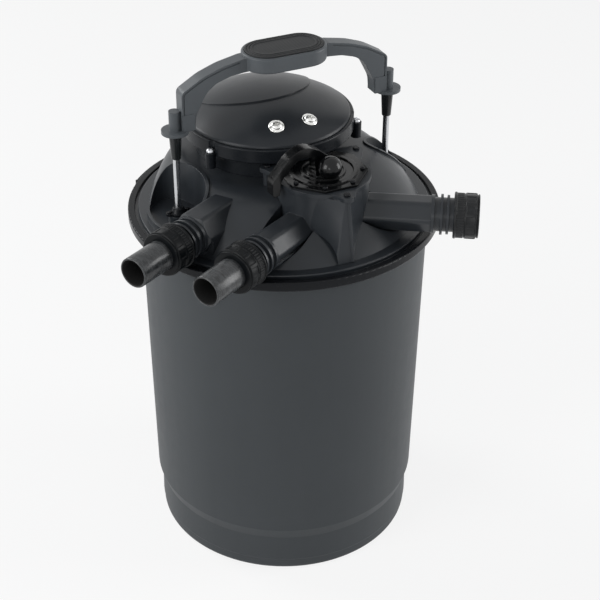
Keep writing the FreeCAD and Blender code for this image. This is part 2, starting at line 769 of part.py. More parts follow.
def lamp_socket():
    low = COLLAR_LOW + 0.2
    stem = cylinder(SLEEVE_RADIUS - SLEEVE_WALL - 0.4, low, low + 12, 0, LAMP_Y)
    head = cylinder(19.0, low + 11, low + 17, 0, LAMP_Y)
    return fused([stem, head])


def ballast():
    low = COLLAR_LOW + SEAT
    box = plate([(-45, 31, 3), (45, 31, 3), (45, 70, 3), (-45, 70, 3)], low, low + 20)
    box.translate(vec(0, LAMP_Y, 0))
    return box


def arch_outline():
    """One arm and leg of the handle, from the middle of the grip out to the disc, then the mirror of it."""
    right = [
        (0, GRIP_LOW + 1, 0),
        (56, GRIP_LOW - 1, 10),
        (72, 651.5, 20),
        (91, 645.8, 25),
        (103.5, 636, 30),
        (LEG_INNER_X - 1.5, 610, 30),
        (LEG_INNER_X, DISC_HIGH - 1, 0),
        (LEG_OUTER_X, DISC_HIGH - 1, 0),
        (LEG_OUTER_X, 640.5, 8),
        (108, 656, 60),
        (84, 664.5, 80),
        (56, ARCH_TOP - 1, 12),
        (0, ARCH_TOP + 1, 0),
    ]
    left = [(-x, z, radius) for x, z, radius in reversed(right[1:-1])]
    return right + left


def stadium(length, width, low, high):
    half = length / 2
    side = width / 2
    corner = side * 0.999
    points = [(-half, -side, corner), (half, -side, corner), (half, side, corner), (-half, side, corner)]
    return plate(points, low, high)


def handle_arch():
    face = Part.Face(corner_wire(arch_outline(), side_plane))
    arch = face.extrude(vec(0, ARCH_WIDTH, 0))
    arch.translate(vec(0, -ARCH_WIDTH / 2, 0))
    inset = arch.copy()
    recess = arm_recess()
    head = stadium(GRIP_LENGTH, GRIP_WIDTH, GRIP_LOW, ARCH_TOP + 2)
    rim = [edge for edge in head.Edges if edge.BoundBox.ZLength < 0.01]
    head = head.makeFillet(2.5, rim)
    pieces = [inset, head]
    for side in (-1, 1):
        x = side * ROD_X
        pieces.append(cylinder(DISC_RADIUS, DISC_LOW, DISC_HIGH, x, 0))
        pieces.append(cylinder(SOCKET_RADIUS, DISC_LOW, SOCKET_TOP, x, 0))
        foot = Part.makeBox(LEG_OUTER_X - LEG_INNER_X, ARCH_WIDTH + 2 * ARM_FOOT_RISE, ARM_FOOT_TOP - DISC_HIGH + 1,
                            vec(LEG_INNER_X, -ARCH_WIDTH / 2 - ARM_FOOT_RISE, DISC_HIGH - 1))
        pieces.append(foot if side > 0 else mirrored(foot))
    body = fused(pieces)
    bed = stadium(PAD_LENGTH + 1, PAD_WIDTH + 1, ARCH_TOP + 2 - PAD_SINK, ARCH_TOP + 10)
    cuts = [bed]
    for side in (-1, 1):
        cuts.append(cylinder(ROD_RADIUS + 0.02, DISC_LOW - 1, ROD_TOP + 0.3, side * ROD_X, 0))
    body = cut_all(body, cuts)
    return cut_all(body, recess)


def arm_recess():
    """A thin groove along both side faces of each arm, just inside its outer edge."""
    outline = [
        (60, 667.0, 0),
        (83.2, 662.4, 60),
        (107.1, 654.0, 50),
        (132.3, 639.3, 5),
        (132.3, ARM_FOOT_TOP, 0),
        (130.7, ARM_FOOT_TOP, 0),
        (130.7, 638.4, 4.4),
        (106.3, 652.6, 49),
        (82.5, 660.8, 59),
        (60, 665.4, 0),
    ]
    cuts = []
    face = Part.Face(corner_wire(outline, side_plane))
    for y in (-ARCH_WIDTH / 2 - 1, ARCH_WIDTH / 2 - ARCH_RECESS):
        slot = face.extrude(vec(0, ARCH_RECESS + 1, 0))
        slot.translate(vec(0, y, 0))
        cuts.append(slot)
        cuts.append(mirrored(slot))
    return cuts


def grip_pad():
    """A crowned soft pad with three raised rings and cross ribs."""
    low = ARCH_TOP + 2 - PAD_SINK + 0.1
    base = stadium(PAD_LENGTH, PAD_WIDTH, low, low + PAD_SINK + 1.2)
    crown_length = PAD_LENGTH - 8
    crown = stadium(crown_length, PAD_WIDTH - 8, low, low + PAD_SINK + 2.2)
    top = [edge for edge in base.Edges if edge.BoundBox.ZMin > low + PAD_SINK and edge.BoundBox.ZLength < 0.01]
    base = base.makeFillet(1.1, top)
    pad = base.fuse(crown)
    for shrink in (16, 28):
        groove = stadium(PAD_LENGTH - shrink, PAD_WIDTH - shrink, low + PAD_SINK + 1.2, low + 12)
        core = stadium(PAD_LENGTH - shrink - 3, PAD_WIDTH - shrink - 3, low, low + 13)
        pad = pad.cut(groove.cut(core))
    return pad


def rod_sleeve():
    high = DISC_LOW - 0.1
    body = turned([
        (ROD_RADIUS + 0.02, high, 0),
        (GROMMET_TOP_RADIUS, high, 0),
        (GROMMET_END_RADIUS, high - GROMMET_LENGTH, 0.8),
        (ROD_RADIUS + 0.02, high - GROMMET_LENGTH, 0),
    ], ROD_X, 0)
    flutes = []
    for index in range(6):
        place = polar(GROMMET_TOP_RADIUS + 0.9, index * 60 + 30, 0, ROD_X, 0)
        flutes.append(cylinder(1.9, high - GROMMET_LENGTH + 5, high - 5, place.x, place.y))
    return cut_all(body, flutes)


def rod():
    low = PLATE_LOW - 9
    return cylinder(ROD_RADIUS, low, ROD_TOP, ROD_X, 0)


def gland():
    """The eared gland that guides a rod, screwed on the boss in its well."""
    low = WELL_FLOOR + BOSS_HEIGHT + 0.1
    high = WELL_FLOOR + GLAND_HEIGHT
    body = turned([
        (ROD_RADIUS + RUN, low, 0),
        (GLAND_RADIUS + 1.5, low, 0),
        (GLAND_RADIUS + 1.5, low + 3, 0.5),
        (GLAND_RADIUS, low + 3, 0),
        (GLAND_RADIUS - 2.5, high, 1.5),
        (ROD_RADIUS + RUN, high, 0),
    ], ROD_X, 0)
    ear = plate([(-GLAND_EAR, -4.5, 4.3), (GLAND_EAR, -4.5, 4.3), (GLAND_EAR, 4.5, 4.3), (-GLAND_EAR, 4.5, 4.3)],
                low, low + 3)
    ear.translate(vec(ROD_X, 0, 0))
    bore = cylinder(ROD_RADIUS + RUN, low - 1, high + 1, ROD_X, 0)
    body = fused([body, ear]).cut(bore)
    return body


def gland_seal():
    low = WELL_FLOOR + 3.2
    high = WELL_FLOOR + BOSS_HEIGHT - 0.1
    return ring(SEAL_RADIUS, ROD_RADIUS + RUN, low, high, ROD_X, 0)


def gland_screws():
    seat = WELL_FLOOR + BOSS_HEIGHT + 3.2
    screws = []
    for side in (-1, 1):
        for offset in (-GLAND_EAR + 4.5, GLAND_EAR - 4.5):
            screws.append(screw_head_only(side * ROD_X + offset, 0, seat, 2.6, 2.0))
    return Part.Compound(screws)


def slotted_disc(radius, low, high, start_radii, slot_length, slots):
    disc = cylinder(radius, low, high)
    for start in start_radii:
        for index in range(slots):
            slot = Part.makeBox(slot_length, 7, high - low + 2, vec(start, -3.5, low - 1))
            disc = disc.cut(turn(slot, (index + 0.5) * 360 / slots))
    return disc


def cleaning_plate():
    high = PLATE_LOW + PLATE_THICK
    disc = slotted_disc(PLATE_RADIUS, PLATE_LOW, high, (102, 136), 24, 20)
    holes = [cylinder(CENTRE_TUBE_RADIUS + 1.5, PLATE_LOW - 1, high + 1, 0, LAMP_Y)]
    pads = []
    for side in (-1, 1):
        pads.append(cylinder(12, PLATE_LOW, high, side * ROD_X, 0))
        holes.append(cylinder(ROD_RADIUS + 0.02, PLATE_LOW - 1, high + 1, side * ROD_X, 0))
    rim = ring(PLATE_RADIUS, PLATE_RADIUS - 4, PLATE_LOW, high)
    return cut_all(fused([disc, rim] + pads), holes)


def rod_nuts():
    nuts = []
    for side in (-1, 1):
        points = []
        for index in range(6):
            angle = math.radians(60 * index)
            points.append((side * ROD_X + 7.5 * math.cos(angle), 7.5 * math.sin(angle), 0.6))
        nut = plate(points, PLATE_LOW - 6.5, PLATE_LOW - 0.1)
        nuts.append(nut.cut(cylinder(ROD_RADIUS + 0.02, PLATE_LOW - 8, PLATE_LOW + 1, side * ROD_X, 0)))
    return Part.Compound(nuts)


def foam(low, high):
    disc = cylinder(FOAM_RADIUS, low, high)
    holes = [cylinder(CENTRE_TUBE_RADIUS + 1, low - 1, high + 1, 0, LAMP_Y)]
    for side in (-1, 1):
        holes.append(cylinder(ROD_RADIUS + 1, low - 1, high + 1, side * ROD_X, 0))
    return cut_all(disc, holes)


def foam_stack():
    """Three foams of one thickness, stacked between the cleaning plate and the top grid."""
    low = PLATE_LOW + PLATE_THICK + FOAM_GAP
    step = (GRID_LOW - low) / 3
    return Part.Compound([foam(low + index * step, low + (index + 1) * step - FOAM_GAP) for index in range(3)])


def top_grid():
    high = GRID_LOW + GRID_THICK
    disc = slotted_disc(GRID_RADIUS, GRID_LOW, high, (102, 132), 22, 18)
    holes = [cylinder(SLEEVE_RADIUS + 4, GRID_LOW - 1, high + 1, 0, LAMP_Y)]
    posts = []
    for side in (-1, 1):
        holes.append(cylinder(ROD_RADIUS + 2, GRID_LOW - 1, high + 1, side * ROD_X, 0))
    for sign in (-1, 1):
        for x, y in ((-WELL_X, WELL_Y + sign * POST_OFFSET), (ROD_X, sign * RIGHT_POST_OFFSET)):
            posts.append(cylinder(POST_RADIUS, GRID_LOW + 1, WELL_FLOOR - LID_WALL - SEAT, x, y))
    pads = [cylinder(12, GRID_LOW, high, side * ROD_X, 0) for side in (-1, 1)]
    return cut_all(fused([disc] + pads + posts), holes)


def centre_tube():
    low = STAND_TUBE_SEAT + SEAT
    high = GRID_LOW - SEAT
    tube = ring(CENTRE_TUBE_RADIUS, CENTRE_TUBE_RADIUS - CENTRE_TUBE_WALL, low, high)
    for row in range(5):
        z = low + 40 + row * 60
        for index in range(4):
            slot = Part.makeBox(2 * CENTRE_TUBE_RADIUS + 4, 8, 42, vec(-CENTRE_TUBE_RADIUS - 2, -4, z))
            tube = tube.cut(turn(slot, 45 * index))
    tube.translate(vec(0, LAMP_Y, 0))
    return tube


def bottom_stand():
    low = FOOT_LIFT + DRUM_WALL + SEAT
    hub = ring(CENTRE_TUBE_RADIUS, CENTRE_TUBE_RADIUS - 6, low, STAND_TUBE_SEAT, 0, LAMP_Y)
    wall = ring(STAND_RADIUS, STAND_RADIUS - 4, low, PLATE_LOW - SEAT)
    ribs = []
    for index in range(6):
        rib = Part.makeBox(200, 4, 36, vec(CENTRE_TUBE_RADIUS - 2, LAMP_Y - 2, low))
        ribs.append(turn(rib, 60 * index + 30, 0, LAMP_Y))
    limit = cylinder(STAND_RADIUS - 2, low, PLATE_LOW)
    inner_ribs = fused(ribs).common(limit)
    bore = cylinder(CENTRE_TUBE_RADIUS - 6, low - 1, PLATE_LOW, 0, LAMP_Y)
    return fused([hub, wall, inner_ribs]).cut(bore)


def eared_plate():
    """The rounded triangle of the valve's top flange, with an ear at each corner."""
    corners = []
    for azimuth, reach in EARS:
        place = polar(reach + 2 * EAR_RADIUS, azimuth, 0, VALVE_X, VALVE_Y)
        corners.append((place.x, place.y, EAR_RADIUS))
    triangle = plate(corners, FLANGE_LOW, FLANGE_HIGH)
    disc = cylinder(BARREL_RADIUS + 2.5, FLANGE_LOW, FLANGE_HIGH, VALVE_X, VALVE_Y)
    return fused([triangle, disc])


def apron_section(left_x, right_x, y, z):
    left = polar(BARREL_RADIUS - APRON_BITE, -90 - APRON_FACE, z, VALVE_X, VALVE_Y)
    right = polar(BARREL_RADIUS - APRON_BITE, -90 + APRON_FACE, z, VALVE_X, VALVE_Y)
    outline = [(left.x, left.y, 0), (left_x, y, APRON_EDGE), (right_x, y, APRON_EDGE), (right.x, right.y, 0)]
    return corner_wire(outline, lambda point: vec(point.x, point.y, z))


def apron():
    """The front of the valve housing: it narrows to a ribbed leg, with an arch cut out on each side of the leg."""
    low = FLANGE_TOP + SEAT
    high = FLANGE_LOW + 1
    foot_section = apron_section(LEG_LEFT_X, LEG_RIGHT_X, LEG_FOOT_Y, low)
    top_section = apron_section(APRON_TOP_X - APRON_TOP_HALF, APRON_TOP_X + APRON_TOP_HALF, APRON_TOP_Y, high)
    wedge = Part.makeLoft([foot_section, top_section], True, True)
    top = vec(RIB_X, APRON_TOP_Y + RIB_RADIUS * 0.4, high)
    foot = vec(RIB_X, LEG_FOOT_Y + RIB_RADIUS * 0.4, low)
    rib = Part.makeCylinder(RIB_RADIUS, (foot - top).Length, top, foot - top)
    rib = rib.common(cylinder(40, low, high, RIB_X, LEG_FOOT_Y))
    toward = polar(1, ARCH_AZIMUTH)
    across = polar(1, ARCH_AZIMUTH + 90)
    arches = []
    for shift, height in ((LEFT_ARCH_SHIFT, LEFT_ARCH_HEIGHT), (RIGHT_ARCH_SHIFT, RIGHT_ARCH_HEIGHT)):
        arches.append(Part.makeCylinder(ARCH_RADIUS, 240, across * shift + vec(0, 0, height), toward))
    return cut_all(wedge.fuse(rib), arches)


def ear_post():
    """The post under the ear beside the lamp, down to the top of the lid."""
    place = ear_places()[1]
    return cylinder(EAR_POST_RADIUS, CONE_TOP + SEAT, FLANGE_LOW + 1, place.x, place.y)


def outlet_fin():
    """A flat fin along the underside of the outlet tube."""
    length = OUTLET.reach - TUBE_END - 40 + 4
    fin = Part.makeBox(FIN_THICK, FIN_WIDTH, length, vec(FIN_DROP - FIN_THICK / 2, -FIN_WIDTH / 2, 40))
    return OUTLET.lay(fin)


def valve_housing():
    barrel = cylinder(BARREL_RADIUS, SEAT_FLOOR, FLANGE_HIGH, VALVE_X, VALVE_Y)
    pieces = [barrel, eared_plate(), ear_post(), port_outside(OUTLET, 20), port_outside(WASTE, 20), outlet_fin()]
    body = fused(pieces)
    front = apron()
    above_lid = cone(SEAT, SEAT)
    front = front.cut(above_lid)
    front = front.cut(cylinder(FLANGE_RADIUS + 20, 400, FLANGE_TOP + SEAT))
    body = fused([body, front])
    lamp_room = cylinder(SKIRT_RADIUS + SEAT, CONE_TOP - 60, COLLAR_LOW + 40, 0, LAMP_Y)
    well = cylinder(ROTOR_RADIUS, SEAT_FLOOR - 1, FLANGE_HIGH + 1, VALVE_X, VALVE_Y)
    dial_room = cylinder(COVER_RING_BORE, FLANGE_HIGH - 3.5, FLANGE_HIGH + 1, VALVE_X, VALVE_Y)
    cuts = [lamp_room, well, dial_room]
    for port in (OUTLET, WASTE):
        cuts.append(port_bore(port, 10))
    for place in ear_places():
        cuts.append(cylinder(1.9, FLANGE_LOW - 4, FLANGE_HIGH + 1, place.x, place.y))
    for place in cover_screw_places():
        cuts.append(cylinder(1.35, FLANGE_LOW, FLANGE_HIGH + 1, place.x, place.y))
    return cut_all(body, cuts)


def ear_places():
    return [polar(reach, azimuth, 0, VALVE_X, VALVE_Y) for azimuth, reach in EARS]


def flange_screws():
    screws = [pan_screw(place.x, place.y, FLANGE_HIGH + 0.1, SCREW_HEAD, 6.0) for place in ear_places()]
    return Part.Compound(screws)


def valve_cover():
    """The octagonal ring that holds the rotor down, with a raised inner edge."""
    low = FLANGE_HIGH + 0.1
    points = []
    for index in range(8):
        place = polar(COVER_RING_RADIUS / math.cos(math.radians(22.5)), 45 * index + 22.5, 0, VALVE_X, VALVE_Y)
        points.append((place.x, place.y, 5))
    body = plate(points, low, COVER_RING_TOP - COVER_RING_STEP)
    body = fused([body, cylinder(COVER_RING_BORE + 5, low, COVER_RING_TOP, VALVE_X, VALVE_Y)])
    cuts = [
        cylinder(COVER_RING_BORE, low - 1, COVER_RING_TOP + 1, VALVE_X, VALVE_Y),
        cylinder(SKIRT_RADIUS + SEAT, low - 1, COVER_RING_TOP + 1, 0, LAMP_Y),
        cylinder(COLLAR_RADIUS + SEAT, COLLAR_LOW - SEAT, COVER_RING_TOP + 1, 0, LAMP_Y),
    ]
    for place in cover_screw_places():
        cuts.append(cylinder(1.7, low - 1, COVER_RING_TOP + 1, place.x, place.y))
    return cut_all(body, cuts)


def cover_screw_places():
    return [polar(COVER_RING_RADIUS - 3.2, azimuth, 0, VALVE_X, VALVE_Y) for azimuth in (-22.5, -67.5, -112.5, 202.5)]


def valve_cover_screws():
    seat = COVER_RING_TOP - COVER_RING_STEP + 0.1
    return Part.Compound([pan_screw(p.x, p.y, seat, 3.0, 5.0) for p in cover_screw_places()])


def valve_rotor():
    """The plug that turns in the barrel, with a bent waterway and a ringed dial on top."""
    low = SEAT_FLOOR + SEAT
    radius = ROTOR_RADIUS - RUN
    body = cylinder(radius, low, FLANGE_HIGH - 3.3, VALVE_X, VALVE_Y)
    dial = cylinder(DIAL_RADIUS, FLANGE_HIGH - 3.3, DIAL_TOP, VALVE_X, VALVE_Y)
    body = fused([body, dial])
    rings = []
    for outer in (DIAL_RING_RADIUS, DIAL_RING_RADIUS - 7):
        rings.append(ring(outer, outer - 3, DIAL_TOP - 1, DIAL_TOP + 1.6, VALVE_X, VALVE_Y))
    body = fused([body] + rings)
    mouth = Part.makeCylinder(TUBE_BORE, ROTOR_RADIUS + 2, vec(VALVE_X, VALVE_Y, PORT_HEIGHT + 2),
                              polar(1, FRONT_AZIMUTH))
    sump = cylinder(TUBE_BORE, low - 1, PORT_HEIGHT + 2, VALVE_X, VALVE_Y)
    knee = Part.makeSphere(TUBE_BORE, vec(VALVE_X, VALVE_Y, PORT_HEIGHT + 2))
    body = cut_all(body, [mouth, sump, knee])
    for z in rotor_ring_heights():
        body = body.cut(ring(ROTOR_RADIUS + 1, ROTOR_RADIUS - 3, z - 1.6, z + 1.6, VALVE_X, VALVE_Y))
    return body


def rotor_ring_heights():
    return (FLANGE_LOW - 14, FLANGE_LOW - 5)


def rotor_seals():
    return Part.Compound([seal_ring(ROTOR_RADIUS - 1.6, 1.35, z, VALVE_X, VALVE_Y) for z in rotor_ring_heights()])


def valve_knob():
    """A ball grip and a lever that rises from the dial, arches over and hooks down past the flange."""
    side = [
        (-6, DIAL_TOP + 0.1, 0),
        (-8, 566, 8),
        (9, 579.5, 14),
        (29, 589.5, 24),
        (50, 578.5, 22),
        (71.5, 553.5, 12),
        (71, 533, 3),
        (62, 534, 3),
        (60.5, 552, 12),
        (42.5, 570.5, 16),
        (27.5, 577, 18),
        (16, 569, 8),
        (13, DIAL_TOP + 0.1, 0),
    ]
    lever = Part.Face(corner_wire(side, side_plane)).extrude(vec(0, LEVER_WIDTH, 0))
    lever.translate(vec(0, -LEVER_WIDTH / 2, 0))
    lever.rotate(ORIGIN, Z_AXIS, LEVER_AZIMUTH)
    lever.translate(vec(VALVE_X, VALVE_Y, 0))
    spot = polar(BALL_REACH, BALL_AZIMUTH, BALL_HEIGHT, VALVE_X, VALVE_Y)
    ball = Part.makeSphere(BALL_RADIUS, spot)
    hub = cylinder(11.5, DIAL_TOP + 0.1, DIAL_TOP + 12, VALVE_X, VALVE_Y)
    foot = cylinder(8.5, DIAL_TOP + 0.1, BALL_HEIGHT, spot.x, spot.y)
    knob = fused([lever, ball, hub, foot])
    below = cylinder(40, DIAL_TOP - 30, DIAL_TOP + 0.1, VALVE_X, VALVE_Y)
    knob = knob.cut(below)
    return knob.cut(dial_rings_room())


def dial_rings_room():
    rings = []
    for outer in (DIAL_RING_RADIUS, DIAL_RING_RADIUS - 7):
        rings.append(ring(outer + 0.1, outer - 3.1, DIAL_TOP - 1, DIAL_TOP + 1.7, VALVE_X, VALVE_Y))
    return Part.Compound(rings)


def nut_outside():
    """A coupling nut's outside, with its front face at zero: a windowed grip band and a plain band."""
    grip_end = -NUT_LENGTH + NUT_GRIP_LENGTH
    body = turned([
        (0, -NUT_LENGTH, 0),
        (NUT_GRIP_RADIUS, -NUT_LENGTH, 1.2),
        (NUT_GRIP_RADIUS, grip_end, 1.0),
        (NUT_PLAIN_RADIUS, grip_end, 0),
        (NUT_PLAIN_RADIUS, 0, 1.8),
        (0, 0, 0),
    ])
    for index in range(NUT_WINDOWS):
        window = Part.makeBox(3, 8.5, NUT_GRIP_LENGTH - 5, vec(NUT_GRIP_RADIUS - 1.3, -4.25, -NUT_LENGTH + 2.5))
        window.rotate(ORIGIN, Z_AXIS, index * 360 / NUT_WINDOWS)
        body = body.cut(window)
    return body


def coupling_nut(port):
    bore = cylinder(THREAD_RADIUS + 0.1, -NUT_LENGTH - 1, -NUT_LIP)
    mouth = cylinder(TAIL_RADIUS + 0.1, -NUT_LIP - 1, 1)
    nut = nut_outside().cut(bore).cut(mouth)
    nut.translate(vec(0, 0, port.reach))
    return port.lay(nut)


def waste_cap():
    bore = cylinder(THREAD_RADIUS + 0.1, -NUT_LENGTH - 1, -NUT_LIP)
    cap = nut_outside().cut(bore)
    cap.translate(vec(0, 0, WASTE.reach))
    return WASTE.lay(cap)


def hose_tail(port):
    flange_low = -NUT_LIP - TAIL_FLANGE - 0.15
    body = turned([
        (TAIL_RADIUS - TAIL_WALL, flange_low, 0),
        (THREAD_RADIUS - 0.3, flange_low, 0),
        (THREAD_RADIUS - 0.3, flange_low + TAIL_FLANGE, 0),
        (TAIL_RADIUS, flange_low + TAIL_FLANGE, 0),
        (TAIL_RADIUS, TAIL_LENGTH, 0.9),
        (TAIL_RADIUS - TAIL_WALL, TAIL_LENGTH, 0.6),
    ])
    body.translate(vec(0, 0, port.reach))
    return port.lay(body)


def port_gasket(port, inner):
    low = -NUT_LIP - TAIL_FLANGE - GASKET_THICK - 0.3
    washer = cylinder(THREAD_RADIUS - 0.3, low, low + GASKET_THICK)
    if inner > 0:
        washer = washer.cut(cylinder(inner, low - 1, low + GASKET_THICK + 1))
    washer.translate(vec(0, 0, port.reach))
    return port.lay(washer)


def waste_blank():
    """The blanking disc that the waste cap presses on its gasket."""
    low = -NUT_LIP - TAIL_FLANGE - 0.15
    disc = cylinder(THREAD_RADIUS - 0.3, low, low + TAIL_FLANGE)
    disc.translate(vec(0, 0, WASTE.reach))
    return WASTE.lay(disc)


def build():
    right = {
        "rod_sleeve": rod_sleeve(),
        "handle_rod": rod(),
        "rod_gland": gland(),
        "gland_seal": gland_seal(),
    }
    nodes = {
        "drum": drum(),
        "lid": lid(),
        "lid_seal": lid_seal(),
        "clamp_band": clamp_band(),
        "latch_pin": latch_pin(),
        "latch_lever": latch_lever(),
        "lamp_collar": lamp_collar(),
        "lamp_seal": lamp_seal(),
        "lamp_cover": lamp_cover(),
        "cover_screws": cover_screws(),
        "lug_screws": lug_screws(),
        "quartz_sleeve": quartz_sleeve(),
        "sleeve_seal": sleeve_seal(),
        "sleeve_nut": sleeve_nut(),
        "uv_lamp": uv_lamp(),
        "lamp_socket": lamp_socket(),
        "ballast": ballast(),
        "handle_arch": handle_arch(),
        "grip_pad": grip_pad(),
        "gland_screws": gland_screws(),
        "cleaning_plate": cleaning_plate(),
        "rod_nuts": rod_nuts(),
        "foam_stack": foam_stack(),
        "top_grid": top_grid(),
        "centre_tube": centre_tube(),
        "bottom_stand": bottom_stand(),
        "valve_housing": valve_housing(),
        "flange_screws": flange_screws(),
        "valve_cover": valve_cover(),
        "valve_cover_screws": valve_cover_screws(),
        "valve_rotor": valve_rotor(),
        "rotor_seals": rotor_seals(),
        "valve_knob": valve_knob(),
        "inlet_nut": coupling_nut(INLET),
        "outlet_nut": coupling_nut(OUTLET),
        "waste_cap": waste_cap(),
        "inlet_tail": hose_tail(INLET),
        "outlet_tail": hose_tail(OUTLET),
        "inlet_gasket": port_gasket(INLET, TUBE_BORE),
        "outlet_gasket": port_gasket(OUTLET, TUBE_BORE),
        "waste_gasket": port_gasket(WASTE, TUBE_BORE),
        "waste_blank": waste_blank(),
    }
    for name, shape in right.items():
        nodes[name + "_right"] = shape
        nodes[name + "_left"] = mirrored(shape)
    return nodes


def main():
    os.makedirs("parts", exist_ok=True)
    for name, shape in build().items():
        solids = shape.Solids
        sound = all(solid.isValid() for solid in solids)
        print(name, len(solids), "solids", round(shape.Volume / 1000, 1), "cm3", "sound" if sound else "FAULTY")
        shape.exportStep("parts/" + name + ".step")


main()
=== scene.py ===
# %% [markdown]
# A pond pressure filter, dressed around its fixed frame.
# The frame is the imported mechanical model. It gives every rigid piece its true size and place, so this
# script never moves a piece: it gives surfaces their finish, and remodels the pieces whose look needs
# finer edges than the frame has.

# %% Load the frame
import json
import math

import bpy
from mathutils import Matrix, Vector


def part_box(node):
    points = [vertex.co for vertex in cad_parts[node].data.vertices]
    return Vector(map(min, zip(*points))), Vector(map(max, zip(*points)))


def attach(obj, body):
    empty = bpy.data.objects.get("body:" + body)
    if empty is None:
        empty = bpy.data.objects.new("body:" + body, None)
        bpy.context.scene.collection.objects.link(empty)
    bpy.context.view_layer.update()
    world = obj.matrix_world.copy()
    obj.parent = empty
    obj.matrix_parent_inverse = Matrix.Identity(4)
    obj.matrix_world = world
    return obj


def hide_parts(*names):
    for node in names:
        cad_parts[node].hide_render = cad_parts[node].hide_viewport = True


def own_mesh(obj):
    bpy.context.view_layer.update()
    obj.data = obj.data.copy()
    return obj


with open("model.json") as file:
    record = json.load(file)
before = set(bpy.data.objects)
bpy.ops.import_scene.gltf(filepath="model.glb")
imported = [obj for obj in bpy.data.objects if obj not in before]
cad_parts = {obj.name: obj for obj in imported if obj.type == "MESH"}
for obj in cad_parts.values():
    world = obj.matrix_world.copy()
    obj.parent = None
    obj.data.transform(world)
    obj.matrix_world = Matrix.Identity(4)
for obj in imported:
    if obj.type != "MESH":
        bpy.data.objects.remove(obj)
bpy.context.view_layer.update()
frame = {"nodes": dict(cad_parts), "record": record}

nodes = frame["nodes"]

# %% [markdown]
# The camera stands where the photographer stood: above the rim, a little to the left of the valve, and far
# enough back for a long lens. Its place was found from the ellipses that the rim, the foot and the lid show.
# The picture's middle lies beside the drum. Turning the camera towards it would tilt the drum's axis, so the
# lens is shifted sideways instead, and the axis stays upright.

# %% Camera
CAMERA_PLACE = (-0.6945, -1.5099, 1.396)
CAMERA_TILT = math.radians(56.98)
CAMERA_TURN = math.radians(-24.7)
SENSOR_WIDTH_MM = 36.0
LENS_MM = 91.02
SIDEWAYS_SHIFT = 0.0267

camera_data = bpy.data.cameras.new("photo_camera")
camera_data.sensor_width = SENSOR_WIDTH_MM
camera_data.lens = LENS_MM
camera_data.shift_x = SIDEWAYS_SHIFT
camera = bpy.data.objects.new("photo_camera", camera_data)
camera.location = CAMERA_PLACE
camera.rotation_euler = (CAMERA_TILT, 0.0, CAMERA_TURN)
bpy.context.scene.collection.objects.link(camera)
bpy.context.scene.camera = camera
print("camera stands", round(camera.location.length, 2), "m from the foot of the drum")

# %% [markdown]
# The finishes of the filter mix several noises, and such maths is easier to read as sums than as boxes and
# wires. Each sum could be typed out as Math nodes and links. This class does it instead: it wraps the output of
# a shader node, and turns +, - and * into Math nodes.

# %% Sums of shader levels
class Level:
    """One output of a shader node, used in sums like a number."""

    def __init__(self, tree, socket):
        self.tree = tree
        self.socket = socket

    def combine(self, operation, first, second):
        return self.tree.add("ShaderNodeMath", {"operation": operation}, {0: first, 1: second})

    def __add__(self, other):
        return self.combine("ADD", self, other)

    def __radd__(self, other):
        return self.combine("ADD", other, self)

    def __sub__(self, other):
        return self.combine("SUBTRACT", self, other)

    def __rsub__(self, other):
        return self.combine("SUBTRACT", other, self)

    def __mul__(self, other):
        return self.combine("MULTIPLY", self, other)

    def __rmul__(self, other):
        return self.combine("MULTIPLY", other, self)


print("shader levels add, subtract and multiply")

# %% [markdown]
# Every other node comes from one method: it takes the kind of node, its settings, and what goes into its
# sockets, where a number stays a number and a level becomes a link. The world uses the same class as the finishes.

# %% Shader trees
class ShaderTree:
    """A tree of shader nodes."""

    def __init__(self, tree):
        self.tree = tree

    def add(self, kind, settings=None, inputs=None, output=0):
        node = self.tree.nodes.new(kind)
        for name, value in (settings or {}).items():
            setattr(node, name, value)
        self.fill(node, inputs or {})
        return Level(self, node.outputs[output])

    def fill(self, node, inputs):
        for name, value in inputs.items():
            if isinstance(value, Level):
                self.tree.links.new(value.socket, node.inputs[name])
            else:
                node.inputs[name].default_value = value

    def seen_directly(self):
        """Is 1 for what the camera sees, also in a mirror or through glass, and 0 for light on surfaces."""
        seen = [self.add("ShaderNodeLightPath", output="Is " + kind + " Ray")
                for kind in ("Camera", "Glossy", "Transmission")]
        return seen[0] + seen[1] + seen[2]


print("shader trees are built by", ShaderTree.add.__name__)

# %% [markdown]
# A finish is a material around one Principled shader. Its patterns could follow a UV map, but grain and scuffs
# need none, so they read Object coordinates, which have no seams and stay on a piece when it moves.
# The methods below are the few nodes that the finishes of the filter share.

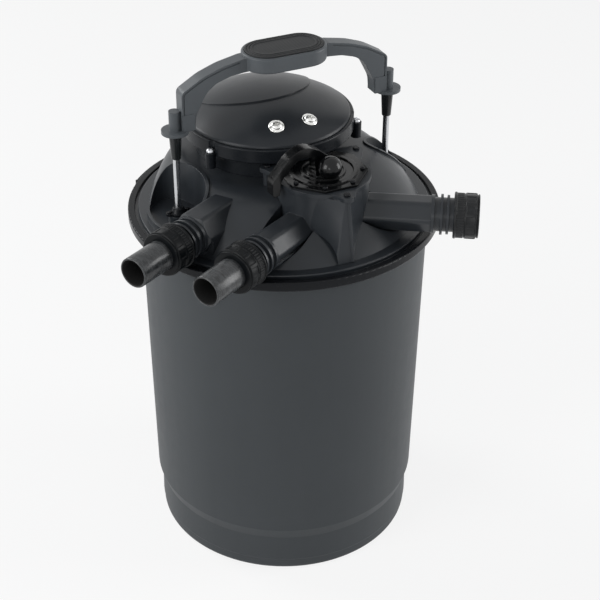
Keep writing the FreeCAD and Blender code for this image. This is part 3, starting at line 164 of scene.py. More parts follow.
# %% Finishes
class Finish(ShaderTree):
    """A material that is built node by node around one Principled shader."""

    def __init__(self, name):
        self.material = bpy.data.materials.new(name)
        self.material.use_nodes = True
        super().__init__(self.material.node_tree)
        self.shader = self.tree.nodes["Principled BSDF"]
        self.place = self.add("ShaderNodeTexCoord", output="Object")

    def mapped(self, place, **change):
        """Moves, turns or stretches a place, by a Location, Rotation or Scale."""
        return self.add("ShaderNodeMapping", {}, {"Vector": place, **change})

    def noise(self, scale, detail=2.0, place=None, roughness=0.5):
        return self.add("ShaderNodeTexNoise", {}, {"Vector": place or self.place, "Scale": scale,
                                                   "Detail": detail, "Roughness": roughness})

    def ramp(self, level, low, high, start, end):
        """Maps a level from low..high onto start..end, and stops at both ends."""
        return self.add("ShaderNodeMapRange", {"clamp": True},
                        {"Value": level, "From Min": low, "From Max": high, "To Min": start, "To Max": end})

    def mix(self, share, first, second):
        """Mixes two colours by a share from 0 to 1."""
        first, second = (colour if isinstance(colour, Level) else (*colour, 1.0) for colour in (first, second))
        return self.add("ShaderNodeMix", {"data_type": "RGBA"}, {0: share, 6: first, 7: second}, output=2)

    def rounded(self, radius):
        """The surface's direction with every edge rounded by a radius."""
        return self.add("ShaderNodeBevel", {"samples": 4}, {"Radius": radius})

    def bump(self, height, strength, distance, under):
        return self.add("ShaderNodeBump", {}, {"Height": height, "Strength": strength, "Distance": distance,
                                               "Normal": under})

    def set(self, **values):
        """Sets or links the shader's own sockets, named with underscores for spaces."""
        self.fill(self.shader, {name.replace("_", " "): (*value, 1.0) if isinstance(value, tuple) else value
                                for name, value in values.items()})
        return self.material


def shade_of(colour, factor):
    return tuple(channel * factor for channel in colour)


finishes = {}
print("a finish starts from", Finish.__name__)

# %% [markdown]
# Most of the filter is injection moulded or rotation moulded plastic in greys that are close to each other.
# What tells the pieces apart is their gloss and grain. One plain grey for all of them would look like clay, so
# each finish has three scales: a faint cloudiness as wide as a hand, a moulded grain of about a millimetre, and
# a slight drift in the gloss.
# A moulded edge is never sharp. The frame's edges could each get a bevel of their own, but its meshes stay as they
# are, so a Bevel node rounds the shading of every edge by almost a millimetre. That thin rounding is what
# catches the light along rims and ribs.
# The studio is white all round, and a black surface mirrors it, so the blackest pieces have the lowest shine.

# %% Moulded plastics
HAND_WIDE = 9.0
FINGER_WIDE = 70.0
MOULD_EDGE = 0.0009


def moulded(name, colour, roughness, grain_size, grain_depth, cloud, shine=0.30, streaks=0.0):
    """Sizes are in metres. Streaks run down the side of a rotation moulding."""
    finish = Finish(name)
    broad = finish.noise(HAND_WIDE, 3.0)
    middle = finish.noise(FINGER_WIDE, 3.0)
    grain = finish.noise(1.0 / grain_size)
    tone = finish.ramp(broad * 0.65 + middle * 0.35, 0.3, 0.7, 0.0, 1.0)
    colour_level = finish.mix(tone, shade_of(colour, 1.0 - cloud), shade_of(colour, 1.0 + cloud))
    gloss = roughness + (middle - 0.5) * 0.10
    if streaks:
        upright = finish.mapped(finish.place, Scale=(1.0, 1.0, 0.04))
        gloss = gloss + (finish.noise(60.0, 3.0, upright) - 0.5) * streaks
    normal = finish.bump(grain, 0.45, grain_depth, finish.rounded(MOULD_EDGE))
    normal = finish.bump(middle, 0.25, grain_depth * 3.0, normal)
    return finish.set(Base_Color=colour_level, Roughness=gloss, Normal=normal, Specular_IOR_Level=shine)


PLASTICS = {
    "drum_plastic": ((0.050, 0.056, 0.061), 0.52, 0.0011, 0.00010, 0.06, 0.30, 0.10),
    "lid_plastic": ((0.027, 0.031, 0.036), 0.33, 0.0009, 0.00004, 0.08, 0.32),
    "collar_plastic": ((0.012, 0.014, 0.017), 0.28, 0.0009, 0.00004, 0.08, 0.16),
    "cover_plastic": ((0.020, 0.023, 0.027), 0.36, 0.0009, 0.00004, 0.06, 0.26),
    "handle_plastic": ((0.100, 0.110, 0.119), 0.40, 0.0010, 0.00006, 0.07),
    "black_plastic": ((0.009, 0.010, 0.012), 0.26, 0.0008, 0.00003, 0.10, 0.14),
    "sleeve_plastic": ((0.012, 0.014, 0.015), 0.24, 0.0008, 0.00004, 0.10, 0.40),
    "gloss_plastic": ((0.003, 0.0033, 0.0038), 0.17, 0.0009, 0.00001, 0.05, 0.30),
    "white_plastic": ((0.72, 0.72, 0.70), 0.45, 0.0009, 0.00004, 0.03),
    "seal_rubber": ((0.020, 0.021, 0.022), 0.62, 0.0007, 0.00006, 0.12),
}
for name, values in PLASTICS.items():
    finishes[name] = moulded(name, *values)
print("plastics:", ", ".join(PLASTICS))

# %% [markdown]
# The rods and small fasteners are stainless steel, and the two large screws on the lamp cover are nickel
# plated. A metal shows mostly what it mirrors, so its colour hardly varies and its roughness does the work.
# Drawn steel has fine lines along the rod. They come from the same noise as the rest, stretched along the height.

# %% Metals
METAL_EDGE = 0.0004


def metal(name, colour, roughness, stretch):
    finish = Finish(name)
    drawn = finish.noise(900.0, place=finish.mapped(finish.place, Scale=(1.0, 1.0, stretch)))
    patches = finish.noise(120.0)
    colour_level = finish.mix(patches, shade_of(colour, 0.86), shade_of(colour, 1.06))
    return finish.set(Base_Color=colour_level, Metallic=1.0, Roughness=roughness + (drawn - 0.5) * 0.14,
                      Normal=finish.bump(drawn, 0.25, 0.00003, finish.rounded(METAL_EDGE)))


METALS = {
    "steel": ((0.55, 0.56, 0.58), 0.32, 1.0),
    "rod_steel": ((0.62, 0.63, 0.65), 0.22, 0.02),
    "nickel": ((0.80, 0.80, 0.78), 0.24, 0.3),
}
for name, values in METALS.items():
    finishes[name] = metal(name, *values)
print("metals:", ", ".join(METALS))

# %% [markdown]
# The lamp burns inside a quartz sleeve, and both are clear, with a haze that only the gloss shows. Real
# refraction would be slow and is never seen behind the closed cover, so a low Alpha is enough.
# The foams are a mesh of fine pores. Modelled, they would take millions of faces, so one noise, cut off steeply,
# pushes the pores in and darkens them, as painted shade inside each pore.

# %% Glass and foam
def clear(name, colour, alpha):
    finish = Finish(name)
    haze = finish.noise(150.0)
    return finish.set(Base_Color=colour, Roughness=finish.ramp(haze, 0.3, 0.7, 0.03, 0.08), Alpha=alpha)


def porous(name, colour):
    finish = Finish(name)
    pore_depth_and_shade = finish.ramp(finish.noise(500.0), 0.42, 0.58, 0.0, 1.0)
    pitted = finish.add("ShaderNodeBump", {}, {"Height": pore_depth_and_shade, "Strength": 0.8, "Distance": 0.0008})
    # painted shade: the pores are coloured a quarter as bright as the foam
    return finish.set(Base_Color=finish.mix(pore_depth_and_shade, shade_of(colour, 0.25), colour), Roughness=0.95,
                      Normal=pitted)


finishes["quartz"] = clear("quartz", (0.90, 0.94, 0.96), 0.30)
finishes["lamp_glass"] = clear("lamp_glass", (0.88, 0.92, 0.95), 0.60)
finishes["foam"] = porous("foam", (0.05, 0.12, 0.24))
print("finishes so far:", len(finishes))

# %% [markdown]
# The hose tails and the coupling nuts are turned over and over in use, and their plastic is harder and more
# scuffed than the lid's. Fine rings run round their own axis, which lies level and turned from the drum's X axis.
# A Wave texture would give rings too, but even ones, like a thread. So a Mapping node turns the pattern onto that
# axis, and a second one squeezes a noise along it until it reads as uneven rings.
# The bore of a hose tail looks black from outside, because hardly any light comes out of it again. The inside is
# found from the distance to the axis, and gets a matt near black as painted shade.

# %% Scuffed plastic
FRONT_TURN = math.radians(-151.0)
WASTE_TURN = math.radians(-31.0)
SCUFFED_EDGE = 0.0007
BORE_RADIUS = 0.0162
BORE_PAINTED_SHADE = (0.001, 0.001, 0.001)


def bore_share(finish, turn, x, y, z):
    """Is 1 inside a level bore through x, y, z in metres, and 0 outside it."""
    centred = finish.mapped(finish.place, Location=(-x, -y, -z))
    turned = finish.mapped(centred, Rotation=(0.0, 0.0, -turn))
    parts = finish.add("ShaderNodeSeparateXYZ", {}, {"Vector": turned}).socket.node.outputs
    side, height = Level(finish, parts["Y"]), Level(finish, parts["Z"])
    return finish.ramp(side * side + height * height, BORE_RADIUS ** 2, (BORE_RADIUS + 0.0007) ** 2, 1.0, 0.0)


def scuffed(name, colour, wear, roughness, turn, ring_share, shine, bore=None):
    finish = Finish(name)
    along = finish.mapped(finish.place, Rotation=(0.0, 0.0, -turn))
    rings = finish.noise(1500.0, 3.0, finish.mapped(along, Scale=(1.0, 0.02, 0.02)), 0.7)
    patches = finish.noise(160.0, 4.0, roughness=0.7)
    fine = finish.noise(1100.0)
    rubbed = finish.ramp(patches * 0.55 + rings * ring_share + fine * 0.15, 0.45, 0.75, 0.0, 1.0)
    colour_level = finish.mix(rubbed, colour, wear)
    gloss = roughness + (rings - 0.5) * 0.35 * ring_share + (patches - 0.5) * 0.16
    if bore:
        inside = bore_share(finish, turn, *bore)
        # painted shade: the inside of the bore is coloured near black
        colour_level = finish.mix(inside, colour_level, BORE_PAINTED_SHADE)
        gloss = gloss + inside * 0.5
    normal = finish.bump(rings * ring_share + fine * 0.4, 0.35, 0.00005, finish.rounded(SCUFFED_EDGE))
    return finish.set(Base_Color=colour_level, Roughness=gloss, Normal=normal, Specular_IOR_Level=shine)


TAIL_COLOURS = ((0.016, 0.017, 0.018), (0.085, 0.090, 0.094))
SCUFFED = {
    "inlet_tail_plastic": (*TAIL_COLOURS, 0.27, FRONT_TURN, 0.45, 0.45, (-0.00378, 0.00682, 0.493)),
    "outlet_tail_plastic": (*TAIL_COLOURS, 0.27, FRONT_TURN, 0.45, 0.45, (0.010, -0.088, 0.493)),
    "nut_plastic": ((0.004, 0.005, 0.006), (0.016, 0.018, 0.020), 0.34, FRONT_TURN, 0.15, 0.12),
    "cap_plastic": ((0.006, 0.007, 0.008), (0.030, 0.033, 0.037), 0.36, WASTE_TURN, 0.15, 0.30),
}
for name, values in SCUFFED.items():
    finishes[name] = scuffed(name, *values)
print("scuffed plastics:", ", ".join(SCUFFED))

# %% [markdown]
# The frame's record names a kind of material for each piece, which sets its weight and friction. The finish
# could be picked by hand for each of the fifty pieces, but mostly it follows from that kind. A few pieces of the
# same kind get a finish of their own: the handle arch lighter and the gland screws and rod sleeves blacker, as on
# the real filter, while the lamp collar is made near black, darker than the lid.

# %% Give every frame node its finish
slot_of = {entry["node"]: entry["material_slot"] for entry in frame["record"]["subparts"]}
finish_of = {"handle_arch": "handle_plastic", "lamp_collar": "collar_plastic", "gland_screws": "black_plastic",
             "rod_sleeve_left": "sleeve_plastic", "rod_sleeve_right": "sleeve_plastic"}
for name, node in nodes.items():
    node.data.materials.clear()
    node.data.materials.append(finishes[finish_of.get(name, slot_of[name])])
print("finishes on", len(nodes), "nodes")

# %% [markdown]
# The new pieces are modelled with operators, as by hand, and an operator acts on all that is selected. The
# frame's pieces come in selected, and a new shape is selected all over. So every step first deselects
# everything, and then picks its piece, or the faces that it works on by their place or direction.

# %% Selecting
def deselect():
    if bpy.context.object and bpy.context.object.mode == "EDIT":
        bpy.ops.object.mode_set(mode="OBJECT")
    bpy.ops.object.select_all(action="DESELECT")


def make_active(piece):
    deselect()
    piece.select_set(True)
    bpy.context.view_layer.objects.active = piece


def pick_faces(piece, test):
    """Selects the faces for which the test of centre and normal holds, and leaves edit mode on."""
    bpy.ops.object.mode_set(mode="EDIT")
    bpy.ops.mesh.select_all(action="DESELECT")
    bpy.ops.mesh.select_mode(type="FACE")
    bpy.ops.object.mode_set(mode="OBJECT")
    for face in piece.data.polygons:
        face.select = bool(test(face.center, face.normal))
    bpy.ops.object.mode_set(mode="EDIT")


deselect()
print("selected:", len(bpy.context.selected_objects))

# %% [markdown]
# Many pieces of the filter are round: they were turned, or came from a turned mould. Spin could sweep an outline
# round the axis, but leaves a seam to be merged and may turn the shape inside out. Here such a piece starts as
# one closed ring of points. The ring is extruded along the axis and scaled to the next radius, again and again,
# until it has followed the outline, and then the first and last rings are joined or closed.
# That is done in millimetres, along Z, and the piece is laid in its place when it is finished.

# %% The lathe
MM = 0.001


def lathe(name, outline, steps=96, ends="joined"):
    """Follows an outline of (radius, height) with one ring. Its ends are joined to each other, or each closed."""
    deselect()
    radius, height = outline[0]
    bpy.ops.mesh.primitive_circle_add(vertices=steps, radius=radius * MM, location=(0.0, 0.0, height * MM))
    piece = bpy.context.object
    piece.name = name
    bpy.ops.object.mode_set(mode="EDIT")
    bpy.ops.mesh.select_mode(type="EDGE")
    bpy.ops.mesh.select_all(action="SELECT")
    for next_radius, next_height in outline[1:]:
        rise = (next_height - height) * MM
        bpy.ops.mesh.extrude_region_move(TRANSFORM_OT_translate={"value": (0.0, 0.0, rise)})
        share = next_radius / radius
        bpy.ops.transform.resize(value=(share, share, 1.0), center_override=(0.0, 0.0, next_height * MM))
        radius, height = next_radius, next_height
    bpy.ops.mesh.select_all(action="DESELECT")
    bpy.ops.mesh.select_mode(type="EDGE")
    bpy.ops.mesh.select_non_manifold(extend=False, use_wire=True, use_boundary=True)
    if ends == "joined":
        bpy.ops.mesh.bridge_edge_loops()
    else:
        bpy.ops.mesh.edge_face_add()
    bpy.ops.mesh.select_all(action="SELECT")
    bpy.ops.mesh.normals_make_consistent(inside=False)
    bpy.ops.object.mode_set(mode="OBJECT")
    bpy.ops.object.transform_apply(location=True, rotation=True, scale=True)
    return piece


print("the lathe works in steps of", MM, "m")

# %% [markdown]
# A finished piece has soft edges, which a Bevel modifier gives and which stay in the mesh when it is applied.
# It could be put in its place by moving its object, but its points are moved instead: then its object lies at the
# origin, as those of the frame do, and a pattern doesn't slide. It rides on the body of the frame that carries
# it, and the pieces of the frame that it stands for are hidden.

# %% Rounding, placing and dressing
SMOOTH_ANGLE = math.radians(40.0)


def round_edges(piece, width, parts=2, angle=35.0):
    """Rounds by a width in millimetres the edges that are sharper than an angle in degrees."""
    make_active(piece)
    bevel = piece.modifiers.new("rounding", "BEVEL")
    bevel.width = width * MM
    bevel.segments = parts
    bevel.limit_method = "ANGLE"
    bevel.angle_limit = math.radians(angle)
    bevel.use_clamp_overlap = True
    bpy.ops.object.modifier_apply(modifier=bevel.name)
    bpy.ops.object.shade_smooth_by_angle(angle=SMOOTH_ANGLE)
    return piece


def place_piece(piece, matrix):
    """Turns and moves the points themselves, so that the object stays at the origin."""
    piece.data.transform(matrix)
    piece.data.update()
    return piece


def dress(piece, finish, body, *replaced, slot=None):
    piece.data.materials.clear()
    piece.data.materials.append(finishes[finish])
    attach(piece, body)
    if replaced:
        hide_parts(*replaced)
    print(piece.name, len(piece.data.polygons), "faces on", body)
    return piece


# %% [markdown]
# The filter has three level ports: water comes in by one, goes out by the second, and is drained through the
# third. Each is a place on its axis, a turn round the upright, and the reach at which the nut's mouth lies.
# One matrix for each port lays any piece that was modelled along Z onto that axis, so that a nut and its tail
# need no measuring against each other.

# %% Port axes
def port_matrix(x, y, height, turn, reach):
    """Lays a piece that was modelled along Z on a level port axis, with its zero at the port's reach."""
    lay_down = Matrix.Rotation(math.radians(90.0), 4, "Y")
    swing = Matrix.Rotation(turn, 4, "Z")
    out = Matrix.Translation((x * MM, y * MM, height * MM))
    return out @ swing @ lay_down @ Matrix.Translation((0.0, 0.0, reach * MM))


INLET = port_matrix(-3.78, 6.82, 493.0, FRONT_TURN, 228.0)
OUTLET = port_matrix(10.0, -88.0, 493.0, FRONT_TURN, 176.0)
WASTE = port_matrix(10.0, -88.0, 497.0, WASTE_TURN, 187.0)
for port_name, matrix in (("inlet", INLET), ("outlet", OUTLET), ("waste", WASTE)):
    print(port_name, "mouth at", tuple(round(part, 3) for part in matrix.translation))

# %% [markdown]
# A coupling nut is a turned sleeve with a narrow lip at its mouth and two bands: one with a row of windows right
# behind the lip, and one with fine ribs for the fingers behind that. Windows could be cut with twelve Boolean
# blocks, but insets are cleaner: the ring has eight faces for each window, and six of the eight are inset
# together and pushed inwards. In the ribbed band every second face is pushed in, and what stays out is a rib.
# The cap of the waste port is the same moulding with its mouth closed.

# %% Coupling nuts and cap
NUT_STEPS = 96
STEPS_PER_WINDOW = 8
WINDOW_BAND = (-15.4, -4.6)
RIB_BAND = (-26.8, -18.6)
# radius and height in mm: the seat inside, the back edge, the ribbed band, the windowed band and the lip
NUT_OUTLINE = [(22.3, -3.0), (22.3, -29.4), (22.9, -30.0),
               (27.2, -30.0), (28.0, -29.2), (28.0, -27.4),
               (27.0, -26.8), (27.0, -18.6), (26.4, -18.0), (26.4, -17.0),
               (27.2, -16.4), (27.4, -15.4), (27.4, -4.6), (27.2, -3.4),
               (25.4, -2.8), (25.4, -2.0), (26.2, -1.6), (26.2, -0.6), (25.7, 0.0)]
NUT_MOUTH = [(18.6, 0.0), (18.6, -3.0)]


def press_in(piece, band, keep, margin, depth):
    """Insets the faces of a band whose step in each group of eight is kept, and pushes them inwards."""
    low, high = band

    def test(centre, normal):
        step = int((math.atan2(centre.y, centre.x) % math.tau) / math.tau * NUT_STEPS)
        outside = centre.x * normal.x + centre.y * normal.y > 0
        return (low * MM < centre.z < high * MM and outside and abs(normal.z) < 0.3
                and step % STEPS_PER_WINDOW in keep)

    pick_faces(piece, test)
    bpy.ops.mesh.inset(thickness=margin * MM, depth=-depth * MM)
    bpy.ops.object.mode_set(mode="OBJECT")


def nut(name, closed=False):
    if closed:
        piece = lathe(name, NUT_OUTLINE, NUT_STEPS, "closed")
    else:
        piece = lathe(name, NUT_OUTLINE + NUT_MOUTH, NUT_STEPS)
    press_in(piece, WINDOW_BAND, (1, 2, 3, 4, 5, 6), 0.5, 0.9)
    press_in(piece, RIB_BAND, (0, 2, 4, 6), 0.4, 0.5)
    return round_edges(piece, 0.25, 2, 30.0)


dress(place_piece(nut("inlet_coupling"), INLET), "nut_plastic", "inlet_nut", "inlet_nut", slot="black_plastic")
dress(place_piece(nut("outlet_coupling"), OUTLET), "nut_plastic", "outlet_nut", "outlet_nut",
      slot="black_plastic")
dress(place_piece(nut("waste_closure", closed=True), WASTE), "cap_plastic", "waste_cap", "waste_cap",
      slot="black_plastic")

# %% [markdown]
# A hose tail is a plain tube that the hose is pushed over, with a flange inside the nut and a rounded mouth.
# A cylinder and a Solidify modifier would give the tube, but neither the flange nor the rounding. One closed
# outline on the lathe gives all three, and a real wall between the outside and the bore.

# %% Hose tails
# radius and height in mm: the flange, the outside of the tube, the rounded mouth and the bore
TAIL_OUTLINE = [(15.9, -6.1), (21.9, -6.1), (21.9, -3.2), (18.5, -3.2), (18.5, 20.0), (18.5, 46.6),
                (18.1, 47.6), (17.5, 48.0), (16.6, 48.0), (16.1, 47.5), (15.9, 46.8), (15.9, 20.0)]


def tail(name):
    return round_edges(lathe(name, TAIL_OUTLINE), 0.2)


dress(place_piece(tail("inlet_spout"), INLET), "inlet_tail_plastic", "canister", "inlet_tail",
      slot="black_plastic")
dress(place_piece(tail("outlet_spout"), OUTLET), "outlet_tail_plastic", "canister", "outlet_tail",
      slot="black_plastic")

# %% [markdown]
# The screws of the filter have recesses for a screwdriver. A recess that crosses a domed head doesn't follow the
# rings of its mesh, so it isn't extruded but cut, by a Boolean modifier with a thin block. The block goes away
# when the cut is applied.

# %% Blocks and cuts
def cut_with(piece, tool):
    make_active(piece)
    cut = piece.modifiers.new("cut", "BOOLEAN")
    cut.operation = "DIFFERENCE"
    cut.solver = "EXACT"
    cut.object = tool
    bpy.ops.object.modifier_apply(modifier=cut.name)
    bpy.data.objects.remove(tool)


def block(size, place, turn=0.0):
    deselect()
    bpy.ops.mesh.primitive_cube_add(size=1.0, location=place, rotation=(0.0, 0.0, turn))
    made = bpy.context.object
    made.scale = size
    bpy.ops.object.transform_apply(location=True, rotation=True, scale=True)
    return made


# %% [markdown]
# Two bright screws hold the lamp cover. They have a wide flange, a domed head and a crossed recess, and are
# the eye's first catch on the dark filter, so they are worth modelling. The dome is part of a ball: each screw
# stands on the line from the ball's middle, because upright it would dip into the dome at one side.

# %% Lamp cover screws
DOME_MIDDLE = Vector((0.0, 0.048, 0.41190))
DOME_RADIUS = 0.1884
COVER_SCREW_X = 0.022
COVER_SCREW_Y = -0.026
COVER_SCREW_SINK = 0.0005
# radius and height in mm: the shank, the flange and the domed head
COVER_SCREW_OUTLINE = [(2.3, -11.0), (2.3, 0.1), (9.3, 0.1), (9.5, 0.4), (9.5, 1.3), (9.0, 1.8), (6.9, 2.3),
                       (6.5, 2.8), (6.2, 4.3), (5.2, 5.2), (3.0, 5.7), (1.0, 5.8)]
CROSS_BAR = (7.4 * MM, 1.3 * MM, 3.4 * MM)
CROSS_HEIGHT = 5.4 * MM


def dome_matrix(x, y, sink):
    reach = math.hypot(x, y - DOME_MIDDLE.y)
    place = Vector((x, y, DOME_MIDDLE.z + math.sqrt(DOME_RADIUS ** 2 - reach ** 2)))
    outward = (place - DOME_MIDDLE).normalized()
    return Matrix.Translation(place - outward * sink) @ outward.to_track_quat("Z", "Y").to_matrix().to_4x4()


def cover_screw(name, turn):
    piece = lathe(name, COVER_SCREW_OUTLINE, 48, "closed")
    for quarter in (0.0, 90.0):
        cut_with(piece, block(CROSS_BAR, (0.0, 0.0, CROSS_HEIGHT), math.radians(turn + quarter)))
    return round_edges(piece, 0.15)


for side_name, side, turn in (("left", -1, 20.0), ("right", 1, 65.0)):
    screw = cover_screw("cover_screw_" + side_name, turn)
    place_piece(screw, dome_matrix(COVER_SCREW_X * side, COVER_SCREW_Y, COVER_SCREW_SINK))
    dress(screw, "nickel", "canister", "cover_screws")

# %% [markdown]
# The lamp collar is screwed down at four lugs round the dome. The small screws have a high domed head with one
# straight slot. One is modelled in a function and built four times, each with its own mesh and its slot at the
# same angle to the collar, because a linked copy could not take its own place in its mesh.

# %% Lug screws
LUG_CIRCLE = 0.110
LUG_TOP = 0.5551
LUG_AZIMUTHS = (-153.0, -27.0, 27.0, 153.0)
LUG_SCREW_OUTLINE = [(5.0, 0.0), (5.0, 1.6), (4.6, 2.9), (3.6, 3.9), (2.0, 4.4), (0.6, 4.5)]
SLOT_BAR = (12.0 * MM, 1.1 * MM, 3.0 * MM)
SLOT_HEIGHT = 4.8 * MM
SLOT_TURN = 35.0


def lug_screw(name, azimuth):
    piece = lathe(name, LUG_SCREW_OUTLINE, 40, "closed")
    cut_with(piece, block(SLOT_BAR, (0.0, 0.0, SLOT_HEIGHT), math.radians(azimuth + SLOT_TURN)))
    angle = math.radians(azimuth)
    place = (LUG_CIRCLE * math.cos(angle), DOME_MIDDLE.y + LUG_CIRCLE * math.sin(angle), LUG_TOP)
    place_piece(round_edges(piece, 0.12), Matrix.Translation(place))
    return dress(piece, "steel", "canister", "lug_screws")


for number, azimuth in enumerate(LUG_AZIMUTHS):
    lug_screw("lug_screw_" + str(number), azimuth)

# %% [markdown]
# The grip has a soft pad moulded over its top. The outline of the pad is a stadium with raised rings round
# its edge. Rings could be tubes laid on the pad, but they are moulded in one with it. So the stadium comes from a
# block whose upright edges are bevelled until they meet, and every ring is one inset of the top face, which
# moves up or down as it shrinks.

# %% Grip pad
PAD_BASE_HEIGHT = 0.0030
PAD_END_PARTS = 16
# width and rise of each inset in mm: the rim, two grooves with a ring between them, and the bed of the ribs
PAD_STEPS = ((0.8, 0.5), (1.6, 0.1), (0.4, -0.9), (0.9, 0.0), (0.4, 0.9), (1.6, 0.1), (0.4, -0.9),
             (0.9, 0.0), (0.4, 0.9), (1.8, 0.1), (0.5, -0.8), (5.0, 0.15))


def grip_pad(name):
    low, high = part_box("grip_pad")
    base = low.z + PAD_BASE_HEIGHT
    size = (high.x - low.x, high.y - low.y, base - low.z)
    piece = block(size, (0.0, 0.0, low.z + size[2] / 2))
    piece.name = name
    make_active(piece)
    bpy.ops.object.mode_set(mode="EDIT")
    bpy.ops.mesh.select_mode(type="EDGE")
    bpy.ops.mesh.select_all(action="DESELECT")
    bpy.ops.object.mode_set(mode="OBJECT")
    for edge in piece.data.edges:
        first, second = (piece.data.vertices[index].co for index in edge.vertices)
        edge.select = abs(first.z - second.z) > 0.001
    bpy.ops.object.mode_set(mode="EDIT")
    bpy.ops.mesh.bevel(offset=size[1] / 2 * 0.98, segments=PAD_END_PARTS, affect="EDGES")
    bpy.ops.object.mode_set(mode="OBJECT")
    pick_faces(piece, lambda centre, normal: normal.z > 0.9)
    for width, rise in PAD_STEPS:
        bpy.ops.mesh.inset(thickness=width * MM, depth=rise * MM)
    bpy.ops.object.mode_set(mode="OBJECT")
    return round_edges(piece, 0.2)


pad = grip_pad("soft_pad")
pad_top = max(pad.data.polygons, key=lambda face: face.area * (face.normal.z > 0.9)).center.z
print("the pad's bed lies at", round(pad_top, 4), "m")

# %% [markdown]
# The middle of the pad has plain cross ribs, as many grips have. Bump could draw them, but a visible shape
# comes from geometry, so each is a low rounded bar. The ribs near the ends are shorter, because the bed is
# round there, and all become one piece with the pad.

# %% Ribs on the grip pad
RIB_PITCH = 0.0042
RIB_HALF_LENGTH = 0.0155
RIB_MIN_LENGTH = 0.004
BED_STRAIGHT = 0.022
RIB_SINK = 0.0012


def pad_rib(place, half_length):
    bar = block((1.7 * MM, 2 * half_length, 1.8 * MM), place)
    return round_edges(bar, 0.5, 3)


def half_length_at(x):
    past_straight = max(abs(x) - BED_STRAIGHT, 0.0)
    return math.sqrt(max(RIB_HALF_LENGTH ** 2 - past_straight ** 2, 0.0))


def join(pieces):
    deselect()
    for piece in pieces:
        piece.select_set(True)
    bpy.context.view_layer.objects.active = pieces[0]
    bpy.ops.object.join()
    return pieces[0]


places = [number * RIB_PITCH for number in range(-8, 9)]
ribs = [pad_rib((x, 0.0, pad_top - RIB_SINK), half_length_at(x)) for x in places
        if half_length_at(x) > RIB_MIN_LENGTH]
dress(join([pad] + ribs), "seal_rubber", "handle", "grip_pad")

# %% [markdown]
# Three foams fill the drum between the cleaning plate and the fixed grid. Lifting the handle presses them like
# sponges. A foam is a thick disc with a hole for the slotted tube and two small ones for the rods. Its edge is
# soft, so the rims are rounded and the side bulges a little. Between two plates it has nowhere to sag, so it
# needs no cloth simulation: it is made on the lathe, and its holes are cut.

# %% Foams
FOAM_LOW, FOAM_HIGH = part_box("foam_stack")
FOAM_GAP = 0.0003
FOAM_STEP = (FOAM_HIGH.z - FOAM_LOW.z + FOAM_GAP) / 3
# x, y and radius in metres: the slotted tube and the two rods
FOAM_HOLES = ((0.0, 0.048, 0.0452), (-0.141, 0.0, 0.0052), (0.141, 0.0, 0.0052))


def foam_disc(name, low):
    thick = (FOAM_STEP - FOAM_GAP) / MM
    piece = lathe(name, [(164.0, 0.0), (165.4, 1.4), (165.7, thick * 0.5), (165.4, thick - 1.4), (164.0, thick)],
                  128, "closed")
    for x, y, radius in FOAM_HOLES:
        deselect()
        bpy.ops.mesh.primitive_cylinder_add(vertices=48, radius=radius, depth=0.4, location=(x, y, 0.05))
        cut_with(piece, bpy.context.object)
    place_piece(piece, Matrix.Translation((0.0, 0.0, low)))
    make_active(piece)
    bpy.ops.object.shade_smooth_by_angle(angle=SMOOTH_ANGLE)
    return piece


for number in range(3):
    foam = foam_disc("filter_foam_" + str(number), FOAM_LOW.z + number * FOAM_STEP)
    dress(foam, "foam", "canister", "foam_stack")
    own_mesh(foam)

# %% [markdown]
# The filter stands on a pale floor. Strong lamps could wash it out to white, but they would also wash out the
# filter. So the camera, mirrors and clear pieces see it almost white, by a glow that lights nothing, and the
# rest of it is a matt surface, which keeps the filter's shadow.

# %% Floor
FLOOR_SIZE = 12.0
FLOOR_GLOW = 0.84


def backdrop_finish():
    finish = Finish("backdrop_white")
    lit = finish.add("ShaderNodeBsdfDiffuse", {}, {"Color": (0.93, 0.93, 0.93, 1.0)})
    glow = finish.add("ShaderNodeEmission", {}, {"Color": (1.0, 1.0, 1.0, 1.0), "Strength": 1.0})
    mixed = finish.add("ShaderNodeMixShader", {}, {0: finish.seen_directly() * FLOOR_GLOW, 1: lit, 2: glow})
    finish.fill(finish.tree.nodes["Material Output"], {"Surface": mixed})
    return finish.material


deselect()
bpy.ops.mesh.primitive_plane_add(size=FLOOR_SIZE, location=(0.0, 0.0, -0.0005))
floor = bpy.context.object
floor.name = "floor"
floor.data.materials.append(backdrop_finish())
print("floor of", FLOOR_SIZE, "m")

# %% [markdown]
# Four soft lamps make a plain studio. One large lamp overhead would light every slope of the lid alike. So the
# large ones stand left, right and behind, the dark drum keeps a brighter band down each side, and the
# lid's slopes stand out from each other. The small one in front gives the ball and the hose tails a highlight.

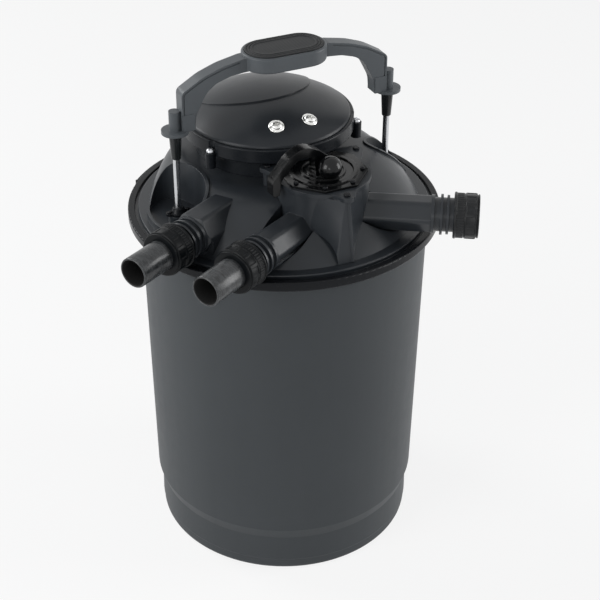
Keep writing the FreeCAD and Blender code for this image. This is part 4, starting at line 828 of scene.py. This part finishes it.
# %% Lamps
# place and target in metres, width and height of the lamp in metres, power in watts
LAMPS = {
    "left_lamp": ((-2.2, -0.6, 1.35), (0.0, 0.0, 0.40), 1.2, 1.5, 25.0),
    "right_lamp": ((2.1, -0.9, 0.9), (0.0, 0.0, 0.35), 1.1, 1.5, 25.0),
    "front_lamp": ((-1.2, -1.9, 1.05), (0.0, -0.1, 0.6), 0.4, 0.5, 3.0),
    "back_lamp": ((-1.5, 2.0, 1.9), (0.0, 0.0, 0.5), 1.2, 1.0, 30.0),
}


def soft_lamp(name, place, target, width, height, power):
    lamp = bpy.data.lights.new(name, "AREA")
    lamp.shape = "RECTANGLE"
    lamp.size = width
    lamp.size_y = height
    lamp.energy = power
    holder = bpy.data.objects.new(name, lamp)
    holder.location = place
    holder.rotation_euler = (Vector(target) - Vector(place)).to_track_quat("-Z", "Y").to_euler()
    bpy.context.scene.collection.objects.link(holder)


for name, values in LAMPS.items():
    soft_lamp(name, *values)
print("lamps:", ", ".join(LAMPS))

# %% [markdown]
# The world is white where the camera sees it, in mirrors and through glass. A white world would also light the
# filter from everywhere and flatten it, so on surfaces it shines at a lower level, and the lamps shape them.

# %% World
WORLD_COLOUR = (0.9, 0.95, 1.0, 1.0)
WORLD_LIGHT = 0.22

world = bpy.data.worlds.new("studio")
bpy.context.scene.world = world
world.use_nodes = True
sky = ShaderTree(world.node_tree)
dim = sky.add("ShaderNodeBackground", {}, {"Color": WORLD_COLOUR, "Strength": WORLD_LIGHT})
white = sky.add("ShaderNodeBackground", {}, {"Color": (1.0, 1.0, 1.0, 1.0), "Strength": 1.0})
chosen = sky.add("ShaderNodeMixShader", {}, {0: sky.seen_directly(), 1: dim, 2: white})
sky.fill(world.node_tree.nodes["World Output"], {"Surface": chosen})
bpy.context.scene.view_settings.view_transform = "Standard"
print("world light", WORLD_LIGHT)

# %% [markdown]
# The filter is dressed, and the last cell says so. The dressed model has to stay inside the box of its
# mechanical frame.

# %% End of the dressing
print("dressing finished")
